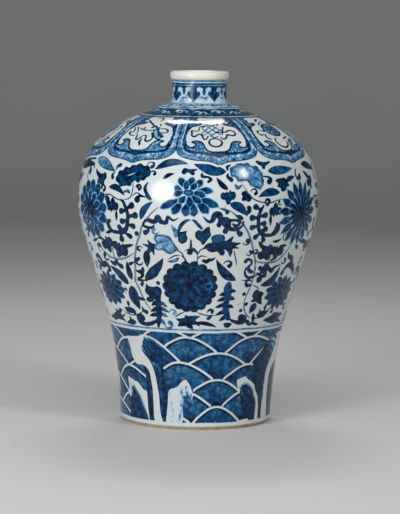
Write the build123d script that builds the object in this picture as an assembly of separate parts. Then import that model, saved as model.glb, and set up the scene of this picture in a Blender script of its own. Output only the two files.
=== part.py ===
from build123d import *
import os

# A meiping vase of porcelain, thrown on the wheel in five sections that are joined with slip.
# Millimetres. It stands on z = 0 and its axis is Z. Each piece is drawn as half a section, with x
# as the radius and y as the height, and turned about the axis.

# The whole vase
height = 335.0
belly_diameter = 230.2
belly_height = 214.0

# The neck and the rolled lip
neck_diameter = 51.2
neck_length = 17.3
neck_wall = 4.6
lip_diameter = 56.2
lip_depth = 8.2
lip_swell_drop = 4.2
lip_crown_inset = 3.2
lip_mouth_round = 3.4

# The foot, the recess under the base, and the floor inside
foot_diameter = 143.6
foot_lean = 2.1
bevel_width = 2.8
bevel_height = 3.6
foot_ring_width = 6.2
foot_ring_slope = 2.4
recess_depth = 9.0
recess_corner = 2.5
base_thickness = 7.5
floor_corner = 15.0

# The wall is thickest at the foot and thins towards the shoulder
foot_wall = 8.0
belly_wall = 5.2

# The slip that joins two sections, and the bead that is smoothed over it inside
slip_thickness = 0.8
slip_bead_radius = 1.6

# The outline from the foot up to the belly: shares of its height, and of its swell
lower_outline_shares = [
    (0.154, 0.056),
    (0.338, 0.172),
    (0.522, 0.400),
    (0.706, 0.671),
    (0.890, 0.937),
]

# The outline from the belly up to the neck: shares of its height, and of its width past the neck
upper_outline_shares = [
    (0.163, 0.985),
    (0.364, 0.929),
    (0.515, 0.842),
    (0.666, 0.670),
    (0.787, 0.459),
    (0.888, 0.190),
    (0.948, 0.046),
]

# Where the inner line is set out from the outer one, as shares of the outer line's length
lower_wall_shares = [0.14, 0.3, 0.46, 0.62, 0.78, 0.92]
upper_wall_shares = [0.0, 0.15, 0.3, 0.44, 0.57, 0.69, 0.8, 0.9, 1.0]

# Where the sections meet, as shares of the length of the outer line that holds the joint
base_joint_share = 0.13
waist_joint_share = 0.48
belly_joint_share = 0.95
neck_joint_share = 0.775

foot_radius = foot_diameter / 2
belly_radius = belly_diameter / 2
neck_radius = neck_diameter / 2
throat_radius = neck_radius - neck_wall
lip_foot_height = height - lip_depth
neck_foot_height = lip_foot_height - neck_length
lip_radius = lip_diameter / 2


def along(start, end, share):
    """The value that lies this share of the way from start to end."""
    return start + (end - start) * share


def lower_outline():
    """The outer line from the top of the foot's bevel up to the widest point of the belly."""
    points = [(foot_radius, bevel_height)]
    for height_share, swell_share in lower_outline_shares:
        points.append((
            along(foot_radius, belly_radius, swell_share),
            along(bevel_height, belly_height, height_share),
        ))
    points.append((belly_radius, belly_height))
    rise = points[1][1] - points[0][1]
    return Spline(*points, tangents=[(foot_lean, rise), (0, rise)])


def upper_outline():
    """The outer line from the widest point of the belly, over the shoulder, to the neck."""
    points = [(belly_radius, belly_height)]
    for height_share, width_share in upper_outline_shares:
        points.append((
            along(neck_radius, belly_radius, width_share),
            along(belly_height, neck_foot_height, height_share),
        ))
    points.append((neck_radius, neck_foot_height))
    rise = neck_foot_height - belly_height
    return Spline(*points, tangents=[(0, rise), (0, rise)])


def inside_of(line, share, wall):
    """The point a wall's thickness inside the outer line, square to it."""
    point = line @ share
    along_line = (line % share).normalized()
    return (point.X - wall * along_line.Y, point.Y + wall * along_line.X)


def lower_wall(share):
    return along(foot_wall, belly_wall, share)


def upper_wall(share):
    return along(belly_wall, neck_wall, share)


def lip_lines():
    """The rolled lip, from its underside at the neck round to the throat."""
    swell = height - lip_swell_drop
    crown_radius = lip_radius - lip_crown_inset
    underside = Spline(
        (neck_radius, lip_foot_height),
        (lip_radius, swell),
        tangents=[(lip_radius - neck_radius, lip_swell_drop / 5), (0, lip_swell_drop)],
    )
    rim = Spline(
        (lip_radius, swell),
        (crown_radius, height),
        tangents=[(0, lip_swell_drop), (-lip_crown_inset, 0)],
    )
    mouth = Spline(
        (crown_radius, height),
        (throat_radius, height - lip_mouth_round),
        tangents=[(-lip_crown_inset, 0), (0, -lip_mouth_round)],
    )
    return [underside, rim, mouth]


def foot_lines():
    """The underside, from the top of the bevel round the foot ring to the axis."""
    ring_outside = foot_radius - bevel_width
    ring_inside = ring_outside - foot_ring_width
    recess_radius = ring_inside - foot_ring_slope
    recess_edge = recess_radius - recess_corner
    bevel = Line((foot_radius, bevel_height), (ring_outside, 0))
    ring = Line((ring_outside, 0), (ring_inside, 0))
    slope = Line((ring_inside, 0), (recess_radius, recess_depth - recess_corner))
    corner = Spline(
        (recess_radius, recess_depth - recess_corner),
        (recess_edge, recess_depth),
        tangents=[(-foot_ring_slope, recess_depth), (-recess_corner, 0)],
    )
    recess = Line((recess_edge, recess_depth), (0, recess_depth))
    return [bevel, ring, slope, corner, recess]


def wall_section(lower, upper):
    """Half of the vase's section, as one face: the clay from the foot to the lip."""
    inner_points = [inside_of(lower, share, lower_wall(share)) for share in lower_wall_shares]
    inner_points += [inside_of(upper, share, upper_wall(share)) for share in upper_wall_shares]
    first, second = inner_points[0], inner_points[1]
    inner_start = (second[0] - first[0], second[1] - first[1])
    inner = Spline(*inner_points, tangents=[inner_start, (0, neck_foot_height)])
    floor_height = recess_depth + base_thickness
    floor_edge = first[0] - floor_corner
    floor = Line((0, floor_height), (floor_edge, floor_height))
    corner = Spline((floor_edge, floor_height), first, tangents=[(floor_corner, 0), inner_start])
    neck = Line((neck_radius, neck_foot_height), (neck_radius, lip_foot_height))
    throat = Line((throat_radius, neck_foot_height), (throat_radius, height - lip_mouth_round))
    axis_line = Line((0, recess_depth), (0, floor_height))
    lines = [lower, upper, neck, throat, inner, corner, floor, axis_line]
    return make_face(lines + lip_lines() + foot_lines())


def joint(line, share, wall):
    """Where two sections meet: a strip square to the wall, and the bead at its inner end."""
    outside = line @ share
    inside = Vector(*inside_of(line, share, wall))
    through = inside - outside
    angle = Vector(1, 0, 0).get_signed_angle(through, Vector(0, 0, 1))
    middle = (outside + inside) / 2
    strip = Pos(middle) * Rot(0, 0, angle) * Rectangle(2 * wall, slip_thickness)
    bead = Pos(inside) * Circle(slip_bead_radius)
    return strip, bead


def turned(section):
    """The solid that this half section makes when it goes once round the axis."""
    return revolve(Plane.XZ * section, axis=Axis.Z)


def vase_pieces():
    lower, upper = lower_outline(), upper_outline()
    clay = wall_section(lower, upper)
    joints = {
        "base_slip_joint": joint(lower, base_joint_share, lower_wall(base_joint_share)),
        "waist_slip_joint": joint(lower, waist_joint_share, lower_wall(waist_joint_share)),
        "belly_slip_joint": joint(lower, belly_joint_share, lower_wall(belly_joint_share)),
        "neck_slip_joint": joint(upper, neck_joint_share, upper_wall(neck_joint_share)),
    }
    sections = clay
    for strip, _ in joints.values():
        sections -= strip
    names = ["base_and_foot", "lower_section", "belly_section", "shoulder_section", "neck_and_lip"]
    faces = sections.faces().sort_by(Axis.Y)
    pieces = {name: turned(face) for name, face in zip(names, faces, strict=True)}
    for name, (strip, bead) in joints.items():
        pieces[name] = turned((strip & clay) + (bead - clay))
    return pieces


os.makedirs("parts", exist_ok=True)
for name, piece in vase_pieces().items():
    export_step(piece, f"parts/{name}.step")
    print(name, round(piece.volume), "cubic mm")
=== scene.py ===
import math
import bpy
import numpy as np
from mathutils import Matrix, Vector


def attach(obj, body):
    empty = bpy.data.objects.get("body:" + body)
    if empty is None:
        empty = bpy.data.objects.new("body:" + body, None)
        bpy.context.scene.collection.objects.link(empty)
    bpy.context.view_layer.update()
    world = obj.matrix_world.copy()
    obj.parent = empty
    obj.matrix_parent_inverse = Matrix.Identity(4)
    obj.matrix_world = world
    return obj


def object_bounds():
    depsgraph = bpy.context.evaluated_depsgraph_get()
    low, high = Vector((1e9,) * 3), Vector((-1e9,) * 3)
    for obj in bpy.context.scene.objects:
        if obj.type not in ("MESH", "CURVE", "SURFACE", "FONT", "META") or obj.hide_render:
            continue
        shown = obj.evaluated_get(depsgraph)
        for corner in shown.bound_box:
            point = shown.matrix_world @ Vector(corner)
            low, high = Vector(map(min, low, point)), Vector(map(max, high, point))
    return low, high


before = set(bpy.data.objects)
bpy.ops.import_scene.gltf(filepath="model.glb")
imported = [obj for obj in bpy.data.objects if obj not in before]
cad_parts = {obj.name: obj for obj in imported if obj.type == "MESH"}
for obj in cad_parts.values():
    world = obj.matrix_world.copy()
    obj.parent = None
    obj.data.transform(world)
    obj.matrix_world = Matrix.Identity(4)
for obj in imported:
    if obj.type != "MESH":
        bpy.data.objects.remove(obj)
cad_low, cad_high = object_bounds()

# A meiping vase of porcelain, painted in cobalt blue under a clear glaze.
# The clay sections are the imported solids. The glaze over them is a thin skin, made in turned bands,
# and the painting is drawn here, stroke by stroke, on an unrolled plan of the surface: angles in
# degrees round the vase, and arc lengths in millimetres up its outline from the top of the foot's
# bevel. Angle 0 faces the camera, and positive angles lie to its right.

MM = 0.001
CLAY_SECTIONS = ("base_and_foot", "lower_section", "belly_section", "shoulder_section", "neck_and_lip")
SLIP_JOINTS = ("base_slip_joint", "waist_slip_joint", "belly_slip_joint", "neck_slip_joint")

# The vase's own sizes in millimetres, as the solids have them
height = cad_high.z / MM
belly_radius = cad_high.x / MM
belly_height = 214.0
neck_radius = 25.6
neck_length = 17.3
neck_wall = 4.6
lip_radius = 28.1
lip_depth = 8.2
lip_swell_drop = 4.2
lip_crown_inset = 3.2
lip_mouth_round = 3.4
foot_radius = 71.8
foot_lean = 2.1
bevel_height = 3.6
lower_outline_shares = ((0.154, 0.056), (0.338, 0.172), (0.522, 0.4), (0.706, 0.671), (0.89, 0.937))
upper_outline_shares = (
    (0.163, 0.985), (0.364, 0.929), (0.515, 0.842), (0.666, 0.67), (0.787, 0.459), (0.888, 0.19),
    (0.948, 0.046),
)

# The glaze: how far it stands off the clay, and where it ends inside the throat
glaze_depth = 0.30
glaze_clearance = 0.05
throat_glaze_end = 306.0

# How far apart the rows of a glaze band stand on its inner side, in millimetres
body_inner_row_step = 5.0
neck_inner_row_step = 0.5

lip_foot_height = height - lip_depth
neck_foot_height = lip_foot_height - neck_length
throat_radius = neck_radius - neck_wall


def end_run(points, marks, way, mark):
    """The run with which a curve of the solids leaves an end: it is as fast there as the parabola
    through the curve's first three points."""
    count = min(3, len(points))
    parabola = np.polyfit(marks[:count], points[:count], count - 1)[::-1]
    slope = sum(power * row * mark ** (power - 1) for power, row in enumerate(parabola) if power)
    return np.array(way, float) * np.abs(slope).sum() / np.abs(way).sum()


def smooth_line(points, start_way, end_way, step=0.1):
    """Closely set points on the curve through these points, with its ends in the given directions."""
    points = np.array(points, float)
    spans = np.hypot(*np.diff(points, axis=0).T)
    marks = np.concatenate([[0.0], np.cumsum(spans)])
    matrix = np.eye(len(points))
    right = np.zeros((len(points), 2))
    right[0] = end_run(points, marks, start_way, 0.0)
    right[-1] = end_run(points, marks, end_way, marks[-1])
    for i in range(1, len(points) - 1):
        before, after = spans[i - 1], spans[i]
        matrix[i, i - 1:i + 2] = after, 2 * (before + after), before
        rise, next_rise = points[i] - points[i - 1], points[i + 1] - points[i]
        right[i] = 3 * (after * rise / before + before * next_rise / after)
    slopes = np.linalg.solve(matrix, right)
    at = np.linspace(0, marks[-1], int(marks[-1] / step) + 2)
    span = np.clip(np.searchsorted(marks, at, side="right") - 1, 0, len(spans) - 1)
    long = spans[span][:, None]
    u = (at - marks[span])[:, None] / long
    return (
        (2 * u**3 - 3 * u**2 + 1) * points[span] + (u**3 - 2 * u**2 + u) * long * slopes[span]
        + (3 * u**2 - 2 * u**3) * points[span + 1] + (u**3 - u**2) * long * slopes[span + 1]
    )


def between(start, end, share):
    return start + (end - start) * share


def vase_outline():
    """The outer line of the vase from the top of the bevel over the lip and down into the throat."""
    lower = [(foot_radius, bevel_height)]
    for height_share, swell_share in lower_outline_shares:
        lower.append((
            between(foot_radius, belly_radius, swell_share),
            between(bevel_height, belly_height, height_share),
        ))
    lower.append((belly_radius, belly_height))
    upper = [(belly_radius, belly_height)]
    for height_share, width_share in upper_outline_shares:
        upper.append((
            between(neck_radius, belly_radius, width_share),
            between(belly_height, neck_foot_height, height_share),
        ))
    upper.append((neck_radius, neck_foot_height))
    swell = height - lip_swell_drop
    crown = lip_radius - lip_crown_inset

    def straight(start, end):
        way = np.subtract(end, start)
        return smooth_line([start, end], way, way)

    runs = [
        smooth_line(lower, (foot_lean, lower[1][1] - lower[0][1]), (0, 1)),
        smooth_line(upper, (0, 1), (0, 1)),
        straight((neck_radius, neck_foot_height), (neck_radius, lip_foot_height)),
        smooth_line(
            [(neck_radius, lip_foot_height), (lip_radius, swell)],
            (lip_radius - neck_radius, lip_swell_drop / 5), (0, 1),
        ),
        smooth_line([(lip_radius, swell), (crown, height)], (0, 1), (-1, 0)),
        smooth_line([(crown, height), (throat_radius, height - lip_mouth_round)], (-1, 0), (0, -1)),
        straight((throat_radius, height - lip_mouth_round), (throat_radius, throat_glaze_end)),
    ]
    return np.concatenate([runs[0]] + [run[1:] for run in runs[1:]])


outline = vase_outline()
outline_steps = np.hypot(*np.diff(outline, axis=0).T)
outline_arcs = np.concatenate([[0.0], np.cumsum(outline_steps)])
outline_ways = np.gradient(outline, outline_arcs, axis=0)
outline_ways /= np.hypot(*outline_ways.T)[:, None]


def on_outline(arcs, column):
    return np.interp(arcs, outline_arcs, column)


def radius_at(arcs):
    return on_outline(arcs, outline[:, 0])


def height_at(arcs):
    return on_outline(arcs, outline[:, 1])


def outward_at(arcs):
    """The outward direction, square to the surface, as its part away from the axis and its part up."""
    return on_outline(arcs, outline_ways[:, 1]), -on_outline(arcs, outline_ways[:, 0])


class Plan:
    """The unrolled surface between two arc lengths, which the pattern goes round a number of times."""

    edge = 0.8

    def __init__(self, low, high, columns, repeats, step=0.4):
        self.low, self.step, self.columns, self.repeats = low, step, columns, repeats
        self.arcs = low + step * np.arange(int((high - low) / step) + 2)
        self.radii = radius_at(self.arcs)
        self.turn_step = 360.0 / repeats / columns
        self.paint = np.zeros((len(self.arcs), columns))
        self.tone = np.zeros((len(self.arcs), columns))

    def window(self, places, margin):
        """The cells round these places, and where each cell and place lies in millimetres."""
        places = np.array(places, float)
        middle = (places[:, 0].min() + places[:, 0].max()) / 2
        first = int(max((places[:, 1].min() - margin - self.low) / self.step, 0))
        last = int(min((places[:, 1].max() + margin - self.low) / self.step + 2, len(self.arcs)))
        rows = np.arange(first, max(last, first + 1))[:, None]
        rows = np.clip(rows, 0, len(self.arcs) - 1)
        narrowest = max(self.radii[rows].min(), margin)
        reach = (places[:, 0].max() - places[:, 0].min()) / 2 + math.degrees(margin / narrowest)
        leftmost = math.floor((middle - reach) / self.turn_step)
        rightmost = math.ceil((middle + reach) / self.turn_step)
        columns = np.arange(leftmost, rightmost + 1)[None, :]
        x = np.radians(columns * self.turn_step - middle) * self.radii[rows]
        y = self.arcs[rows] + 0 * x
        across = np.radians(places[:, 0] - middle) * radius_at(places[:, 1])
        spots = np.stack([across, places[:, 1]], axis=1)
        return (rows, columns % self.columns), x, y, spots

    def all_cells(self):
        return np.arange(len(self.arcs))[:, None], np.arange(self.columns)[None, :]

    def lay(self, cells, distance, tone):
        """Paints the cells inside a shape. Tones run from 0, a pale wash, to 1, the darkest blue."""
        cover = np.clip(0.5 - distance / self.edge, 0, 1)
        bare = (1 - self.paint[cells]) * (distance < self.edge)
        weight = np.maximum(cover, bare)
        self.tone[cells] += (tone - self.tone[cells]) * weight
        self.paint[cells] = np.maximum(self.paint[cells], cover)

    def spare(self, cells, distance, strength=1.0):
        """Leaves the cells inside a shape white."""
        cover = np.clip(0.5 - distance / self.edge, 0, 1) * strength
        self.paint[cells] = np.minimum(self.paint[cells], 1 - cover)

    def clear_round(self, cells, distance, gap, gap_tone):
        """Clears a margin round a shape that is about to be painted, or washes it in a pale tone."""
        if gap and gap_tone is None:
            self.spare(cells, distance - gap)
        elif gap:
            self.lay(cells, distance - gap, gap_tone)

    def sample(self, angles, arcs):
        """The paint and the tone at these places."""
        across = np.asarray(angles) / self.turn_step
        up = np.clip((np.asarray(arcs) - self.low) / self.step, 0, len(self.arcs) - 1.001)
        left, below = np.floor(across).astype(int), np.floor(up).astype(int)
        right_share, up_share = across - left, up - below
        found = []
        for layer in (self.paint, self.tone):
            corner = lambda row, column: layer[row, column % self.columns]
            lower = between(corner(below, left), corner(below, left + 1), right_share)
            upper = between(corner(below + 1, left), corner(below + 1, left + 1), right_share)
            found.append(between(lower, upper, up_share))
        return found


def through(places, closed=False, parts=4):
    """Closely set places on a smooth line that passes through the given ones."""
    places = np.array(places, float)
    count = len(places)
    if closed:
        around = np.concatenate([places[-1:], places, places[:2]])
    else:
        around = np.concatenate([2 * places[:1] - places[1:2], places, 2 * places[-1:] - places[-2:-1]])
        count -= 1
    u = (np.arange(parts) / parts)[None, :, None]
    a, b, c, d = (around[i:i + count, None, :] for i in range(4))
    line = b + 0.5 * u * (c - a + u * (2 * a - 5 * b + 4 * c - d + u * (3 * (b - c) + d - a)))
    line = line.reshape(-1, places.shape[1])
    return line if closed else np.concatenate([line, places[-1:]])


def from_line(x, y, spots, halves):
    """How far each cell lies outside a line of spots that has these half widths."""
    start, end = spots[:-1], spots[1:]
    run = end - start
    long = np.maximum((run**2).sum(1), 1e-9)
    dx, dy = x[..., None] - start[:, 0], y[..., None] - start[:, 1]
    share = np.clip((dx * run[:, 0] + dy * run[:, 1]) / long, 0, 1)
    away = np.hypot(dx - share * run[:, 0], dy - share * run[:, 1])
    return (away - between(halves[:-1], halves[1:], share)).min(-1)


def from_shape(x, y, spots):
    """How far each cell lies outside a closed shape; inside it the distance is negative."""
    ring = np.concatenate([spots, spots[:1]])
    away = from_line(x, y, ring, np.zeros(len(ring)))
    start, end = ring[:-1], ring[1:]
    rise = np.where(end[:, 1] == start[:, 1], 1e-9, end[:, 1] - start[:, 1])
    level = y[..., None]
    crosses = (start[:, 1] > level) != (end[:, 1] > level)
    left = x[..., None] < start[:, 0] + (level - start[:, 1]) * (end[:, 0] - start[:, 0]) / rise
    inside = (crosses & left).sum(-1) % 2 == 1
    return np.where(inside, -away, away)


def line(plan, places, width, tone=0.9, taper=(0.35, 0.35), white=False, smooth=True):
    """A brush line through these places. Its ends have the given shares of its width."""
    path = through(places) if smooth and len(places) > 2 else np.array(places, float)
    share = np.linspace(0, 1, len(path))
    shape = np.minimum(between(taper[0], 1, share * 4), between(taper[1], 1, (1 - share) * 4))
    halves = width / 2 * np.minimum(shape, 1)
    chunk = 10
    for first in range(0, len(path) - 1, chunk):
        piece = slice(first, first + chunk + 1)
        cells, x, y, spots = plan.window(path[piece], width + 1)
        distance = from_line(x, y, spots, halves[piece])
        if white:
            plan.spare(cells, distance)
        else:
            plan.lay(cells, distance, tone)


def patch(plan, places, tone=0.8, rim=0.95, rim_width=0.8, gap=0.0, gap_tone=None, smooth=True):
    """A filled shape with a darker rim. A gap clears a margin round it first, or washes it pale."""
    path = through(places, closed=True) if smooth else np.array(places, float)
    cells, x, y, spots = plan.window(path, 2 + gap)
    distance = from_shape(x, y, spots)
    plan.clear_round(cells, distance, gap, gap_tone)
    inner = np.clip((-distance - rim_width) / 0.6, 0, 1)
    plan.lay(cells, distance, between(rim, tone, inner))
    return cells, distance


def bare(plan, places, smooth=True):
    """A shape left white."""
    path = through(places, closed=True) if smooth else np.array(places, float)
    cells, x, y, spots = plan.window(path, 2)
    plan.spare(cells, from_shape(x, y, spots))


def set_out(middle, places, side=1):
    """Places that are given from a middle, as they lie on the plan; side -1 mirrors them."""
    return [(middle + side * off, *rest) for off, *rest in places]


stipple_draw = np.random.default_rng(11)


def coarse_specks(shape, share):
    """Specks two cells wide, over this share of the cells."""
    coarse = stipple_draw.random((shape[0] // 2 + 1, shape[1] // 2 + 1)) < share
    return coarse.repeat(2, axis=0).repeat(2, axis=1)[:shape[0], :shape[1]]


def stippled(plan, cells, distance, strength=0.25):
    """Darker specks over the inside of a shape."""
    plan.tone[cells] += strength * (coarse_specks(distance.shape, corner_specks) & (distance < -1.0))


def dot(plan, angle, arc, radius, tone=0.9, white=False):
    cells, x, y, spots = plan.window([(angle, arc)], radius + 1)
    distance = np.hypot(x - spots[0, 0], y - spots[0, 1]) - radius
    if white:
        plan.spare(cells, distance)
    else:
        plan.lay(cells, distance, tone)


class Spot:
    """A motif's own place: its middle, its turn, its size and its hand."""

    def __init__(self, angle, arc, turn=0.0, size=1.0, hand=1):
        self.angle, self.arc, self.size, self.hand = angle, arc, size, hand
        self.turn = math.radians(turn)

    def at(self, points):
        """Where these points, in millimetres from the middle, lie on the plan."""
        points = np.array(points, float).reshape(-1, 2) * self.size
        x, y = points[:, 0] * self.hand, points[:, 1]
        across = x * math.cos(self.turn) - y * math.sin(self.turn)
        up = x * math.sin(self.turn) + y * math.cos(self.turn)
        return np.stack([self.angle + np.degrees(across / radius_at(self.arc)), self.arc + up], axis=1)


# The band of waves at the foot. Each crest has the angle and arc length of its peak, how far it runs
# and falls to the left, and the same to the right. A half circle of them is repeated on the far side.
wave_crests = (
    (99, 95, 24, 15, 24, 14), (99, 70, 24, 15, 25, 15.5), (99, 43.5, 24, 15, 23, 15),
    (99, 18.5, 24, 15, 29, 15.5), (-54, 108, 24, 15, 24, 15), (-53, 81.5, 19, 13.5, 20, 5),
    (-55, 54, 16, 12, 17, 8.5), (-56, 27.5, 15, 11.5, 20, 9), (-22, 95, 14, 8, 16, 8),
    (-37, 85.5, 3, 0.2, 26, 24), (-34, 64, 21, 10, 9, 5), (-30, 40, 7, 1.5, 6, 4),
    (-22, 13, 20, 10, 18, 9.5), (-7, 86.5, 15, 10.5, 21, 14.5), (-12, 61.5, 12, 7.4, 24, 15.5),
    (-8, 33, 15, 12, 19, 13), (15, 96, 18, 9, 20, 10.5), (15, 71, 20, 10.5, 22, 12.5),
    (15, 45, 17, 10.5, 18, 12), (15, 19, 17, 16, 20, 16), (40, 112, 24, 15, 24, 15),
    (40, 86, 20, 15, 18, 6.5), (40, 58.5, 20, 13, 4, 1), (36, 32, 16, 12.5, 12, 4),
    (40, 4, 24, 15, 24, 15), (65, 98, 24, 11.5, 20, 12), (65, 78, 24, 19, 18, 12),
    (65, 45, 24, 15, 18, 12), (65, 18, 24, 15, 18, 12), (82, 110, 18, 12, 18, 14),
    (82, 84, 18, 12, 18, 14), (82, 58, 18, 12, 18, 14), (82, 30, 18, 12, 18, 14),
    (82, 5, 18, 12, 18, 14),
)
wave_line_width = 2.1

# The ripples under a crest: their pitch, and the depths between which they show, in millimetres
ripple_pitch = 2.0
ripples_from, ripples_to = 2.0, 26.0
ripple_fade_in, ripple_fade_out = 2.0, 12.0

# How far below its peak a crest is drawn, its tone, and how much paler it is where it ripples
crest_depth = 45.0
crest_tone = 0.93
ripple_wash = 0.08

# The white lines along the foot and the top of the waves: middle, width and no tone
wave_lines = ((0, 7.2, None), (92.6, 3.2, None))


def waves(plan):
    """Overlapping crests, each a white line with faint ripples under it, from the top row down."""
    draw = np.random.default_rng(4)
    plan.paint[:] = 1.0
    plan.tone[:] = 0.9
    from_the_top = sorted(wave_crests, key=lambda crest: -crest[1])
    for angle, peak, left, left_fall, right, right_fall in from_the_top:
        corners = [(angle - left, peak - crest_depth), (angle + right, peak)]
        cells, x, y = plan.window(corners, 1)[:3]
        radii = plan.radii[cells[0]]
        turn = np.degrees(x / radii) + (right - left) / 2
        reach, fall = np.where(turn < 0, left, right), np.where(turn < 0, left_fall, right_fall)
        away = np.abs(turn) / reach
        quarter = math.pi / 2 * np.clip(away, 0, 1)
        crest = peak - fall * (1 - np.cos(quarter))
        slope = fall * np.sin(quarter) * math.pi / 2 / (radii * np.radians(reach))
        below = (crest - y) / np.hypot(1, slope)
        inside = (below > -wave_line_width) & (away <= 1)
        strength = draw.uniform(0.2, 0.5)
        bend = draw.uniform(-0.5, 0.5)
        ripple = 0.5 + 0.5 * np.cos((below + bend) * 2 * math.pi / ripple_pitch)
        depth = np.clip((below - ripples_from) / ripple_fade_in, 0, 1)
        depth = depth * np.clip((ripples_to - below) / ripple_fade_out, 0, 1)
        fill = crest_tone - strength * ripple * depth - ripple_wash * depth
        on_line = np.clip(0.5 - (np.abs(below) - wave_line_width / 2) / plan.edge, 0, 1)
        paint = np.where(inside & (below > 0), 1.0, plan.paint[cells])
        plan.paint[cells] = np.where(inside, np.minimum(paint, 1 - on_line), paint)
        plan.tone[cells] = np.where(inside & (below > 0), fill, plan.tone[cells])


# The rocks that the waves break on: dark masses with paler streaks, and the bare shapes on them
rock_shadows = (
    ((-36.6, 84), (-31, 81.5), (-26.5, 78), (-23.6, 75), (-23.4, 60), (-23, 46), (-21.2, 36), (-21, 3),
     (-27, 3), (-33, 4), (-37.6, 3), (-37.6, 30), (-37, 44), (-40, 56), (-36, 60), (-40, 72)),
    ((57.6, 79.6), (60.5, 82), (63, 83.8), (66, 84.6), (70, 80), (66, 60), (60, 46), (59.4, 3),
     (54.6, 3), (54.4, 22), (50, 34), (45, 42), (44, 54), (46, 62), (51, 70)),
    ((67.6, 3), (66.4, 40), (69, 50), (74, 56), (82, 55), (86, 40), (88, 3)),
    ((-54, 33), (-50.5, 32), (-47, 28), (-44, 21), (-40, 13), (-37.5, 3), (-56, 3), (-57, 20)),
    ((33.8, 31), (35, 37), (38, 39), (43, 36), (48, 27), (50.6, 20), (51.6, 3), (45, 3), (40, 11),
     (36, 21)),
)
bare_rocks = (
    ((-53.2, 82.6), (-50, 83.6), (-45, 84.2), (-40, 85.2), (-36.4, 87.2), (-36.8, 83), (-38.4, 79),
     (-38.9, 74), (-39.6, 70.6), (-37, 66.5), (-33.6, 61), (-31.4, 54), (-29.4, 44), (-27.8, 32),
     (-27.2, 20), (-26.4, 10), (-25.2, 3), (-31.6, 3), (-32.2, 20), (-33, 38), (-34.6, 49),
     (-37.4, 54.6), (-41, 56.6), (-46, 56.4), (-48.6, 60), (-50.8, 64.4), (-51, 70), (-51.8, 77)),
    ((-58.4, 40.6), (-57.2, 42.6), (-53.6, 41.4), (-50, 39.8), (-46.6, 39), (-44, 35.6), (-41, 32),
     (-38.2, 30.6), (-37.4, 20), (-36.4, 3), (-37.6, 6), (-39.6, 12.6), (-43.6, 20.4), (-47, 27.2),
     (-50.4, 32), (-53, 34), (-55, 30), (-55.4, 24), (-57.8, 25), (-57.4, 32)),
    ((-21.4, 3), (-21.4, 12), (-20.6, 25), (-20, 32), (-18, 35.6), (-15, 36.8), (-12.4, 39),
     (-10.2, 42.6), (-7.4, 45.2), (-4.8, 41.4), (-3.2, 36), (-2, 30), (-3.6, 26), (-6.4, 29),
     (-9.2, 28), (-9.6, 18), (-9.8, 3)),
    ((31, 43.6), (34, 45.4), (38, 46.8), (41, 43.6), (45, 40.6), (48, 36.4), (49.4, 32), (52, 27.6),
     (53.4, 20), (54.4, 10), (54.2, 3), (50.6, 3), (50.6, 18), (47.6, 27), (45, 32.4), (42.6, 36.6),
     (39.6, 38.8), (36.8, 38.6), (34.6, 36.4), (33.8, 30.6), (32.6, 32.6), (31.8, 38)),
    ((59.6, 3), (59.4, 30), (60, 44), (62.4, 54), (66, 62), (70, 72), (71, 80), (67.6, 84.6), (75, 86),
     (83, 82), (82.4, 68), (80, 58), (74, 54.6), (69.6, 50), (67, 42), (66.6, 24), (68, 3)),
    ((87.6, 3), (87, 28), (90, 33), (95, 39), (100, 42.6), (103, 40), (103, 26), (100.6, 24),
     (99.4, 32), (95, 28), (91.6, 20), (89.6, 3)),
)

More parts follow.
